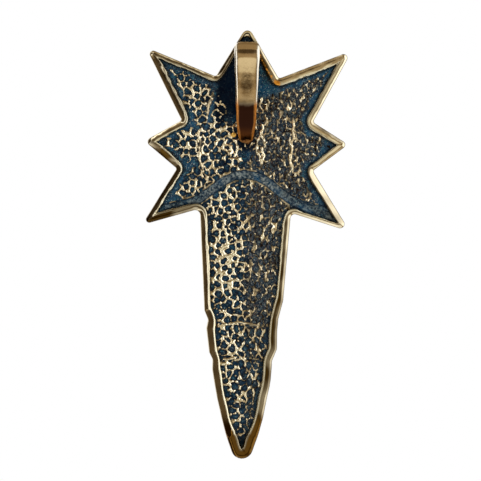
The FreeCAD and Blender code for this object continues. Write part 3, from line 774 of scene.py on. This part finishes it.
def texture_lines(p, inside):
    """Raised lines of the floor, 0 to 1, and how bright they are rubbed."""
    x = p[:, 0]
    below, width = arch_offset(p), arch_half_width(p)
    upper = bump(below, -width - 0.1, 0.13) * smooth(inside, 0.6, 1)
    lower = bump(below, width + 0.1, 0.12) * fade(np.abs(x), 6, 7)
    channel = (upper + lower) * (0.75 + 0.35 * np.clip(EDGE_NOISE(p) * 2, -1, 1))
    crest = crease_line(p)
    streak = short_streaks(p)
    tiers = tier_ridges(p, inside)
    lines = unit(crest + 0.95 * unit(channel) + streak + tiers)
    polish = np.maximum(crest * crease_polish(p), np.maximum(0.45 * channel, 1.4 * streak))
    return lines, np.maximum(polish, tiers * np.where(x < 0.5, 1.4, 0.5))


def back_surface(p):
    """Depth and polish of the textured floor."""
    inside = inside_rim(p)
    strength = texture_strength(p, inside)
    gap = pit_distance(p)
    ridge = (0.13 + 0.05 * smooth(gap, 0.1, 0.35)) * smooth(gap, -0.03, 0.13)
    relief = strength * (ridge - 0.26 * smooth(-gap, -0.03, 0.22))
    lines, line_polish = texture_lines(p, inside)
    height = np.maximum(relief, 0.27 * lines - 0.07) + 0.012 * GRAIN(p)
    rubbed = polish_level(p) * smooth(gap, 0.01, 0.11) * strength
    tip_bridge = fade(-p[:, 1], 0.9, 1) * (np.abs(p[:, 0]) < 2)
    return floor_depth(p, inside) - height, np.maximum(np.maximum(rubbed, line_polish), tip_bridge)


def build_casting(material):
    """The cast body: raised rim, textured floor, outer wall and the relief of the show face."""
    rings, depths, marks = rim_rings()
    back, back_faces = fill(rings[0], spacing=0.125, jitter=0.16, seed=61, margin=0.07)
    front, front_faces = fill(rings[-1], spacing=0.24, jitter=0.1, seed=62, margin=0.1)
    back_depth, back_polish = back_surface(back)
    front_height = show_height(front)
    count = len(OUTLINE)
    last_ring = (len(rings) - 1) * count
    first_back = len(rings) * count
    first_front = first_back + len(back)
    faces = ring_faces(count, len(rings))
    faces += list(np.where(back_faces < count, back_faces, back_faces - count + first_back))
    front_faces = np.where(front_faces < count, front_faces + last_ring, front_faces - count + first_front)
    faces += list(front_faces[:, ::-1])
    verts = [to_space(ring, depth) for ring, depth in zip(rings, depths)]
    verts += [to_space(back, back_depth), to_space(front, EDGE_THICKNESS + front_height)]
    unmarked = [np.zeros(len(back)), np.zeros(len(front))]
    marks["polish"] += [back_polish, 1 - 0.7 * fade(front_height, 0.1, 0.5)]
    marks["tarnish"] += [unmarked[0], unmarked[1] + WALL_TARNISH]
    marks["amber"] += unmarked
    marks["warm"] += unmarked
    marks = {key: np.concatenate(column) for key, column in marks.items()}
    points = np.concatenate(verts)
    make_piece("pendant_casting_fine", "pendant_casting", material, points, faces, marks)


def lacquer_level(p, inside, strength):
    """Depth of the lacquer's surface."""
    below = arch_offset(p)
    in_channel = fade(np.abs(below) - arch_half_width(p), -0.15, 0.1)
    rise = 0.07 * (1 - strength) + 0.02 * in_channel - 0.4 * fade(-p[:, 1], 0.85, 1)
    right = smooth(p[:, 0], -0.4, 1) * fade(-p[:, 1], 39, 42) * strength
    dull = (0.025 + 0.045 * STREAKS(p)) * right
    return floor_depth(p, inside) - rise - dull - LACQUER_DIPS(p) * 0.025 - LACQUER_GRAIN(p) * 0.008


def painted_lacquer_shade(p, inside, strength):
    """Painted shade in the lacquer: the strap's shadow beside it, shade along the rims, round each pit's
    edge, along the channel's edges, under the strap's foot and at the top tip.
    """
    x, drop = x_and_drop(p)
    # Painted shadow of the strap on the lacquer beside it; the terms below are painted shade as well.
    beside = fade(np.abs(x + 2.7), 1.1, 1.9) * between(drop, 1, 3, 11, 14)
    along_rim = 0.75 * fade(inside, 0.05, 0.4)
    gap = pit_distance(p)
    pits = strength * (0.45 + 0.4 * smooth(gap, -0.3, -0.08)) * (1 - 0.2 * smooth(x, -0.4, 1))
    channel = 0.85 * bump(np.abs(arch_offset(p)) - arch_half_width(p), 0.02, 0.14)
    foot = 0.7 * bump(np.hypot(x, 0.7 * (drop - 15.4)), 0, 1.3)
    top = 0.6 * fade(drop, 1.5, 2.5)
    return unit(np.maximum(beside, foot) + along_rim + pits + channel + top)


LACQUER_DIPS = Waves(71, 1.3)
LACQUER_GRAIN = Waves(72, 0.5)
LACQUER_THICKNESS = 0.07
ARCH_REACH = 7  # beyond this x the arch's fill takes in what lies below the channel too


def build_lacquer(material):
    """Three thin fills of lacquer: in the head, in the arch channel and in the blade."""
    border = rim_ring(1)
    fresh, faces = fill(border, spacing=0.155, jitter=0.12, seed=63, margin=0.09)
    p = np.concatenate([border, fresh])
    inside = np.maximum(inside_rim(p), 0)
    strength = texture_strength(p, inside)
    dust = 0.9 * fade(np.abs(arch_offset(p)) - arch_half_width(p), -0.25, 0.1)
    dust *= (0.95 + 0.4 * LACQUER_DIPS(p)) * (1 - 0.6 * smooth(np.abs(p[:, 0]), 4, 8))
    grit = strength * smooth(p[:, 0], -0.6, 1) * (1 - 0.7 * smooth(-p[:, 1], 39, 43))
    marks = {"dust": unit(dust), "painted_shade": painted_lacquer_shade(p, inside, strength), "grit": grit}
    depth = lacquer_level(p, inside, strength)
    middle = p[faces].mean(1)
    below = arch_offset(middle)
    half = arch_half_width(middle) - 0.02
    head = below < -half
    blade = (below > half) & (np.abs(middle[:, 0]) < ARCH_REACH)
    for part, chosen in {"head": head, "arch": ~head & ~blade, "blade": blade}.items():
        used, tops = np.unique(faces[chosen], return_inverse=True)
        tops = tops.reshape(-1, 3)
        count = len(used)
        top = to_space(p[used], depth[used])
        bottom = to_space(p[used], depth[used] + LACQUER_THICKNESS)
        sides = {(int(a), int(b)) for k in range(3) for a, b in tops[:, [k, (k + 1) % 3]]}
        walls = [(b, a, a + count, b + count) for a, b in sides if (b, a) not in sides]
        everything = list(tops) + list(tops[:, ::-1] + count) + walls
        doubled = {key: np.tile(values[used], 2) for key, values in marks.items()}
        points = np.concatenate([top, bottom])
        make_piece(f"lacquer_{part}", f"patina_fill_{part}", material, points, everything, doubled)


def sweep(name, node, slot, material, rings, polish=None):
    """Closed object from a list of rings with the same number of points."""
    count = len(rings[0])
    faces = ring_faces(count, len(rings))
    faces.append(np.arange(count)[::-1])
    faces.append(np.arange(count) + (len(rings) - 1) * count)
    marks = {} if polish is None else {"polish": np.full(len(rings) * count, polish)}
    make_piece(name, node, material, np.concatenate(rings), faces, marks)


# Half of the strap's width at each drop.
STRAP_HALF_WIDTH = [
    (1.66, 1.3), (1.8, 1.6), (2.05, 1.73), (2.5, 1.78), (5, 1.7), (9, 1.54),
    (12.4, 1.4), (14, 1.24), (14.8, 1.1), (15.2, 0.95), (15.45, 0.75), (15.62, 0.5),
]
TONGUE_HALF_WIDTH = 1.3
WRAP_BELOW = math.radians(10)  # how far below the cord's middle the bend reaches on the leg's side
TONGUE_SLOPE = math.radians(30)
LEG_RADIUS = 19.3  # of the slight curve of the leg
FOOT_DROP = 15.62
TONGUE_LENGTH = 2.25
# Cross-section of the strap, from the middle of one face to the middle of the other: share of the
# half-width and depth below the outer line.
STRAP_OUTER = [(0, -0.05), (0.35, -0.04), (0.64, -0.01), (0.77, 0.02), (0.81, 0.035), (0.95, 0.125)]
STRAP_EDGE = [(0.985, 0.18), (1, 0.34), (1, 0.66), (0.98, 0.8)]
STRAP_INNER = [(0.93, 0.9), (0.84, 0.95), (0.5, 0.95), (0, 0.95)]
STRAP_SECTION = STRAP_OUTER + STRAP_EDGE + STRAP_INNER


def strap_path():
    """Outer line of the strap from the foot over the seat to the tongue: y, z, normal (2), half-width."""
    reach = LEG_RADIUS - SEAT_OUTER
    centre = np.array([reach * math.cos(WRAP_BELOW), reach * math.sin(WRAP_BELOW)])
    foot = math.pi + math.asin((centre[1] - (TOP_Z - FOOT_DROP)) / LEG_RADIUS)
    rows = []

    def arc(middle, radius, angles):
        for angle in angles:
            normal = np.array([math.cos(angle), math.sin(angle)])
            y, z = middle + radius * normal
            half = TONGUE_HALF_WIDTH
            if angle > math.pi / 2:
                half = np.interp(TOP_Z - z, *zip(*STRAP_HALF_WIDTH))
            rows.append((y, z, *normal, half))

    arc(centre, LEG_RADIUS, np.linspace(foot, math.pi + WRAP_BELOW, 60))
    arc(np.zeros(2), SEAT_OUTER, np.linspace(math.pi + WRAP_BELOW, math.pi / 2 - TONGUE_SLOPE, 40)[1:])
    y, z, ny, nz, half = rows[-1]
    for step in np.linspace(0, TONGUE_LENGTH, 10)[1:]:
        y_here = y + step * math.cos(TONGUE_SLOPE)
        z_here = z - step * math.sin(TONGUE_SLOPE)
        rows.append((y_here, z_here, ny, nz, half - 0.1 * step))
    return rows


def build_strap(material):
    """The flat strap of the bail: crowned outer face, bevelled edges, slightly uneven by hand."""
    waver = Waves(81, 3)
    fine = Waves(82, 1.2)
    rings = []
    for i, (y, z, ny, nz, half) in enumerate(strap_path()):
        thin = 1 - 0.3 * smooth(TOP_Z - z, 12, FOOT_DROP)
        uneven = 0.006 * fine(np.array([[0, i * 0.3]]))[0]
        points = []
        for side in (-1, 1):
            spread = half * (1 + 0.012 * waver(np.array([[side * 9, z]]))[0])
            rows = [(side * u * spread, v * thin + uneven) for u, v in STRAP_SECTION]
            points += rows if side > 0 else rows[::-1][1:-1]
        rings.append(np.array([(x, y - ny * into, z - nz * into) for x, into in points]))
    sweep("bail_strap_fine", "bail_strap", "strap_brass", material, rings)


def build_lump(name, node, material, centre, radii, rough, seed, tilt=0, polish=0):
    """Small uneven blob of solder: centre as x, drop, depth and its three radii in millimetres."""
    rows, columns = 20, 30
    broad = Waves(seed, 1.2)
    fine = Waves(seed + 1, 0.6)
    x, drop, depth = centre
    turn = -2 * math.pi * np.arange(columns) / columns
    rings = []
    for polar in math.pi * (np.arange(rows) + 0.5) / rows:
        flat = math.sin(polar)
        way = np.stack([flat * np.cos(turn), flat * np.sin(turn), np.full(columns, math.cos(polar))])
        at = np.column_stack([way[0] * radii[0] + way[1], way[2] * radii[2] - way[1]])
        a, b, c = way * np.array(radii)[:, None] * (1 + rough * (broad(at) + 0.4 * fine(at)))
        rings.append(np.column_stack([x + a, RIM_Y + depth + b + c * tilt, TOP_Z - drop + c]))
    sweep(name, node, "solder", material, rings, polish)


# --- materials ---


class Nodes:
    """Short way of writing node trees."""

    def __init__(self, owner):
        owner.use_nodes = True
        self.owner = owner
        self.tree = owner.node_tree
        self.tree.nodes.clear()

    def add(self, kind, inputs=None, **settings):
        node = self.tree.nodes.new(kind)
        for key, value in settings.items():
            setattr(node, key, value)
        for key, value in (inputs or {}).items():
            self.put(node.inputs[key], value)
        return node

    def put(self, socket, value):
        if isinstance(value, bpy.types.NodeSocket):
            self.tree.links.new(value, socket)
        elif socket.type == "RGBA":
            socket.default_value = (*value, 1)
        else:
            socket.default_value = value

    def math(self, operation, a, b=0, c=0, clamp=False):
        return self.add("ShaderNodeMath", {0: a, 1: b, 2: c}, operation=operation, use_clamp=clamp).outputs[0]

    def times(self, a, b):
        return self.math("MULTIPLY", a, b)

    def plus(self, a, b):
        return self.math("ADD", a, b)

    def ease(self, value, low, high, to_low=0, to_high=1):
        inputs = {"Value": value, "From Min": low, "From Max": high, "To Min": to_low, "To Max": to_high}
        return self.add("ShaderNodeMapRange", inputs, interpolation_type="SMOOTHSTEP").outputs["Result"]

    def mix(self, factor, a, b):
        return self.add("ShaderNodeMix", {0: factor, 6: a, 7: b}, data_type="RGBA").outputs[2]

    def mottle(self, value, low, high, a, b):
        """Colour a where the value is below low, b where it is above high."""
        return self.mix(self.ease(value, low, high), a, b)

    def noise(self, per_mm, detail=3, rough=0.55):
        inputs = {"Vector": self.position(), "Scale": per_mm / MM, "Detail": detail, "Roughness": rough}
        return self.add("ShaderNodeTexNoise", inputs).outputs["Fac"]

    def position(self):
        return self.add("ShaderNodeTexCoord").outputs["Object"]

    def attribute(self, name):
        return self.add("ShaderNodeAttribute", attribute_name=name).outputs["Fac"]

    def surface(self, colour, metallic, roughness, height, strength, reach, **others):
        """The one shader of a material, with bumps of the given height field; reach in millimetres."""
        bumps = self.add("ShaderNodeBump", {"Height": height, "Strength": strength, "Distance": reach * MM})
        inputs = {"Base Color": colour, "Metallic": metallic, "Roughness": roughness, **others}
        shader = self.add("ShaderNodeBsdfPrincipled", {"Normal": bumps.outputs[0], **inputs})
        self.add("ShaderNodeOutputMaterial", {"Surface": shader.outputs["BSDF"]})
        return self.owner

    def for_camera(self, seen, other):
        """The first shader for rays from the camera, the other one for all the rest."""
        camera_ray = self.add("ShaderNodeLightPath").outputs["Is Camera Ray"]
        inputs = {0: camera_ray, 1: other.outputs[0], 2: seen.outputs[0]}
        return self.add("ShaderNodeMixShader", inputs).outputs[0]


def bronze_material():
    """Polished bronze where rubbed, dull brown where not; the palest cream on the most polished parts is a
    painted highlight, and the rim's brown is partly painted shade.
    """
    nodes = Nodes(bpy.data.materials.new("cast_bronze"))
    polish = nodes.attribute("polish")
    broad = nodes.noise(0.25, 2)
    fine = nodes.noise(2.2, 4)
    scratch = nodes.noise(1.1, 5, 0.6)
    rubbed = nodes.ease(nodes.plus(polish, nodes.math("MULTIPLY_ADD", fine, 0.35, -0.17)), 0.25, 0.72)
    dull = nodes.mottle(fine, 0.4, 0.65, (0.13, 0.11, 0.07), (0.44, 0.39, 0.28))
    dull = nodes.mottle(polish, 0.04, 0.3, (0.018, 0.012, 0.01), dull)
    gold = nodes.mottle(broad, 0.35, 0.65, (0.84, 0.67, 0.4), (0.9, 0.76, 0.5))
    # Painted highlight: the most polished parts turn pale cream.
    gold = nodes.mottle(polish, 0.62, 1.12, gold, (1, 0.93, 0.7))
    # Brown from the rim marks: partly tarnish, partly painted shade.
    gold = nodes.mix(nodes.attribute("tarnish"), gold, (0.055, 0.029, 0.005))
    gold = nodes.mix(nodes.attribute("warm"), gold, (0.125, 0.062, 0.011))
    patches = nodes.plus(nodes.attribute("amber"), nodes.times(fine, 0.9))
    gold = nodes.mottle(patches, 0.75, 1.05, gold, (0.95, 0.42, 0.06))
    colour = nodes.mix(rubbed, dull, gold)
    smoother = nodes.ease(fine, 0.3, 0.8, 0.12, 0.2)
    spread = nodes.add("ShaderNodeMix", {0: rubbed, 2: 0.5, 3: smoother}, data_type="FLOAT").outputs[0]
    return nodes.surface(colour, 1, spread, scratch, 0.2, 0.03)


def brass_material():
    """The strap: brass, darkened towards its foot with orange edges, and a pale painted highlight along its
    two edges.
    """
    nodes = Nodes(bpy.data.materials.new("strap_brass"))
    apart = nodes.add("ShaderNodeSeparateXYZ", {0: nodes.position()})
    drop = nodes.math("SUBTRACT", TOP_Z * MM, apart.outputs["Z"])
    across = nodes.math("ABSOLUTE", apart.outputs["X"])
    fine = nodes.noise(1.6, 4)
    broad = nodes.noise(0.35, 3)
    shift = nodes.times(nodes.plus(broad, -0.5), 1.6 * MM)
    low = nodes.ease(nodes.plus(drop, shift), 9.2 * MM, 10.6 * MM)
    widening = nodes.times(nodes.ease(drop, 12.5 * MM, 15.5 * MM), 0.4 * MM)
    edge = nodes.ease(nodes.plus(across, widening), 0.95 * MM, 1.3 * MM)
    brass = nodes.mottle(broad, 0.35, 0.65, (0.82, 0.64, 0.38), (0.88, 0.69, 0.42))
    # Painted highlight: pale grey-cream along the strap's two edges.
    painted_edge_highlight = nodes.ease(across, 1.2 * MM, 1.38 * MM, 0, 0.8)
    brass = nodes.mix(painted_edge_highlight, brass, (0.66, 0.64, 0.58))
    middle = nodes.mottle(drop, 13.2 * MM, 15.2 * MM, (0.024, 0.008, 0.004), (0.085, 0.026, 0.005))
    colour = nodes.mix(low, brass, nodes.mix(edge, middle, (0.6, 0.22, 0.03)))
    metallic = nodes.math("SUBTRACT", 1, nodes.times(nodes.times(low, edge), 0.6))
    return nodes.surface(colour, metallic, nodes.ease(fine, 0.3, 0.75, 0.13, 0.22), fine, 0.25, 0.05)


def solder_material():
    """Brown-gold solder, mottled."""
    nodes = Nodes(bpy.data.materials.new("solder"))
    fine = nodes.noise(2, 4)
    colour = nodes.mottle(fine, 0.35, 0.65, (0.1, 0.04, 0.014), (0.42, 0.2, 0.07))
    colour = nodes.mix(nodes.attribute("polish"), colour, (1, 0.6, 0.14))
    return nodes.surface(colour, 1, nodes.ease(fine, 0.3, 0.7, 0.25, 0.45), fine, 0.4, 0.06)


def lacquer_material():
    """Dark teal lacquer with paler specks painted as glints, darkened by painted shade."""
    nodes = Nodes(bpy.data.materials.new("patina_lacquer"))
    broad = nodes.noise(0.5, 3)
    fine = nodes.noise(3, 4)
    glint_specks = nodes.noise(5.5, 2)
    painted_shade = nodes.attribute("painted_shade")
    base = nodes.mottle(broad, 0.4, 0.6, (0.002, 0.024, 0.062), (0.008, 0.08, 0.185))
    base = nodes.mottle(fine, 0.48, 0.7, base, (0.035, 0.18, 0.27))
    # Paler specks: painted glints on the lacquer.
    base = nodes.mottle(glint_specks, 0.6, 0.68, base, (0.42, 0.55, 0.58))
    dusty = nodes.mottle(fine, 0.4, 0.64, (0.012, 0.045, 0.08), (0.42, 0.47, 0.46))
    base = nodes.mix(nodes.times(nodes.attribute("dust"), 0.85), base, dusty)
    gritty = nodes.mottle(fine, 0.42, 0.62, (0.012, 0.03, 0.045), (0.24, 0.27, 0.26))
    gritty = nodes.mottle(nodes.noise(3.6, 2), 0.58, 0.64, gritty, (0.36, 0.17, 0.06))
    # Cream specks: painted glints.
    gritty = nodes.mottle(glint_specks, 0.58, 0.64, gritty, (0.95, 0.88, 0.66))
    base = nodes.mix(nodes.times(nodes.attribute("grit"), 0.5), base, gritty)
    # Painted shade: the lacquer goes near black, with a weaker glint, where the painted shade mark is high.
    base = nodes.mix(nodes.math("MULTIPLY", painted_shade, 0.95, clamp=True), base, (0.001, 0.003, 0.011))
    glint = {"Specular IOR Level": nodes.math("MULTIPLY_ADD", painted_shade, -0.25, 0.3)}
    return nodes.surface(base, 0, nodes.ease(fine, 0.3, 0.7, 0.25, 0.45), fine, 0.6, 0.06, **glint)


def floor_material():
    """Plain pale floor: white to the camera, soft grey to everything else."""
    nodes = Nodes(bpy.data.materials.new("pale_floor"))
    white = nodes.add("ShaderNodeEmission", {"Color": (1, 1, 1), "Strength": 1})
    grey = nodes.add("ShaderNodeBsdfDiffuse", {"Color": (0.8, 0.8, 0.8)})
    nodes.add("ShaderNodeOutputMaterial", {"Surface": nodes.for_camera(white, grey)})
    return nodes.owner


# --- light, floor and camera ---


def direction(azimuth, elevation):
    """Unit vector; azimuth turns from the viewer (-Y) to the right (+X)."""
    a, e = math.radians(azimuth), math.radians(elevation)
    return (math.sin(a) * math.cos(e), -math.cos(a) * math.cos(e), math.sin(e))


BACKDROP = 0.2  # brightness all round, before the lights are laid over it

# Lights and dark areas round the object, one laid over the other: azimuth and elevation of the middle, half
# angle at which it begins, half angle within which it is full, all in degrees, and its brightness.
LIGHTS = [
    (0, 60, 60, 40, 0.34),  # dim, above the viewer
    (88, 15, 63, 42, 1.7),  # bright, on the right
    (0, 90, 30, 14, 0.3),  # straight above
    (-92, -5, 66, 50, 0.09),  # dark, on the left
    (0, -11, 28, 14, 0.76),  # round the viewer
    (0, 50, 22, 13, 0.06),  # dark, above the viewer
    (0, -90, 56, 46, 0.42),  # below
    (0, -37, 12, 6, 0.06),  # dark, below the viewer
    (0, -90, 40, 32, 1.05),  # straight below
]
REAR_LIGHTS = [
    (168, 8, 54, 38, 0.25),  # behind
    (-142, 10, 38, 26, 1.8),  # bright, behind on the left
]
# A tall bright strip on the left, which the viewer sees in surfaces whose normal has this x.
STRIP_NORMAL = -0.375
STRIP_EDGES = (0.075, 0.045)  # off that x: where the strip begins and where it is full
STRIP_BRIGHTNESS = 1.9


def build_world():
    """White backdrop for the camera; for the object a soft studio with bright and dark sides."""
    world = bpy.data.worlds.new("studio")
    bpy.context.scene.world = world
    nodes = Nodes(world)
    way = nodes.add("ShaderNodeTexCoord").outputs["Generated"]

    def vector(operation, *inputs):
        return nodes.add("ShaderNodeVectorMath", dict(enumerate(inputs)), operation=operation)

    def blend(value, mask, target):
        rest = nodes.math("SUBTRACT", 1, mask)
        return nodes.plus(nodes.times(value, rest), nodes.times(mask, target))

    def lit(value, lights):
        for azimuth, elevation, wide, narrow, brightness in lights:
            nearness = vector("DOT_PRODUCT", way, direction(azimuth, elevation)).outputs["Value"]
            wide, narrow = math.cos(math.radians(wide)), math.cos(math.radians(narrow))
            value = blend(value, nodes.ease(nearness, wide, narrow), brightness)
        return value

    value = lit(BACKDROP, LIGHTS)
    normal = vector("NORMALIZE", vector("ADD", way, (0, -1, 0)).outputs[0]).outputs[0]
    normal_x = nodes.add("ShaderNodeSeparateXYZ", {0: normal}).outputs["X"]
    off_strip = nodes.math("ABSOLUTE", nodes.plus(normal_x, -STRIP_NORMAL))
    value = lit(blend(value, nodes.ease(off_strip, *STRIP_EDGES), STRIP_BRIGHTNESS), REAR_LIGHTS)
    warm = nodes.mottle(value, 0.05, 0.75, (1, 0.68, 0.34), (1, 0.93, 0.74))
    tint = nodes.mottle(value, 0.6, 1.1, warm, (1, 1, 1))
    sky = nodes.add("ShaderNodeBackground", {"Color": tint, "Strength": value})
    white = nodes.add("ShaderNodeBackground", {"Color": (1, 1, 1), "Strength": 1})
    nodes.add("ShaderNodeOutputWorld", {"Surface": nodes.for_camera(white, sky)})


def build_floor(material):
    """A wide pale disc just below the tip, seen only as plain white."""
    count = 96
    radius = 400
    height = plate_low.z / MM - 0.5
    angles = np.arange(count) * 2 * math.pi / count
    ring = np.column_stack([np.cos(angles) * radius, np.sin(angles) * radius, np.full(count, height)])
    disc = mesh_object("floor", ring, [range(count)], material)
    disc.visible_glossy = False
    disc.visible_diffuse = False
    disc.visible_shadow = False


VIEW_DISTANCE = 600
VIEW_ACROSS = 67.2  # millimetres across the picture at the rim's plane
VIEW_TILT = 0.0148  # lean of the pendant in the picture, clockwise
TOP_OFFSET = (0.978, 29.34)  # the top tip in the picture, right of and above its middle


def build_camera():
    """Long lens square to the back of the pendant."""
    camera = bpy.data.cameras.new("camera")
    camera.sensor_width = 36
    camera.lens = 36 * VIEW_DISTANCE / VIEW_ACROSS
    camera.clip_start = 0.01
    camera.clip_end = 10
    obj = add_object("camera", camera)
    right = Vector((math.cos(VIEW_TILT), 0, math.sin(VIEW_TILT)))
    up = Vector((-math.sin(VIEW_TILT), 0, math.cos(VIEW_TILT)))
    back = Vector((0, -1, 0))
    middle = Vector((0, RIM_Y, TOP_Z)) - right * TOP_OFFSET[0] - up * TOP_OFFSET[1]
    place = Matrix((right, up, back)).transposed().to_4x4()
    place.translation = (middle + back * VIEW_DISTANCE) * MM
    obj.matrix_world = place
    bpy.context.scene.camera = obj


# --- everything together ---

build_casting(bronze_material())
build_lacquer(lacquer_material())
build_strap(brass_material())
solder = solder_material()
top_at, top_radii = (0, 3.05, 1.05), (1.25, 0.5, 0.55)
foot_at, foot_radii = (0, 15.15, 2), (1.05, 0.3, 0.6)
bead_at, bead_radii = (-1.72, 14.6, 1.55), (0.36, 0.42, 0.34)
build_lump("solder_top", "solder_joint_upper", solder, top_at, top_radii, 0.1, 91, tilt=0.3)
build_lump("solder_foot", "solder_joint_lower", solder, foot_at, foot_radii, 0.12, 93)
build_lump("solder_bead_fine", "solder_bead", solder, bead_at, bead_radii, 0.07, 95, polish=1)

build_world()
build_floor(floor_material())
build_camera()

scene = bpy.context.scene
scene.view_settings.view_transform = "Standard"
scene.view_settings.look = "None"
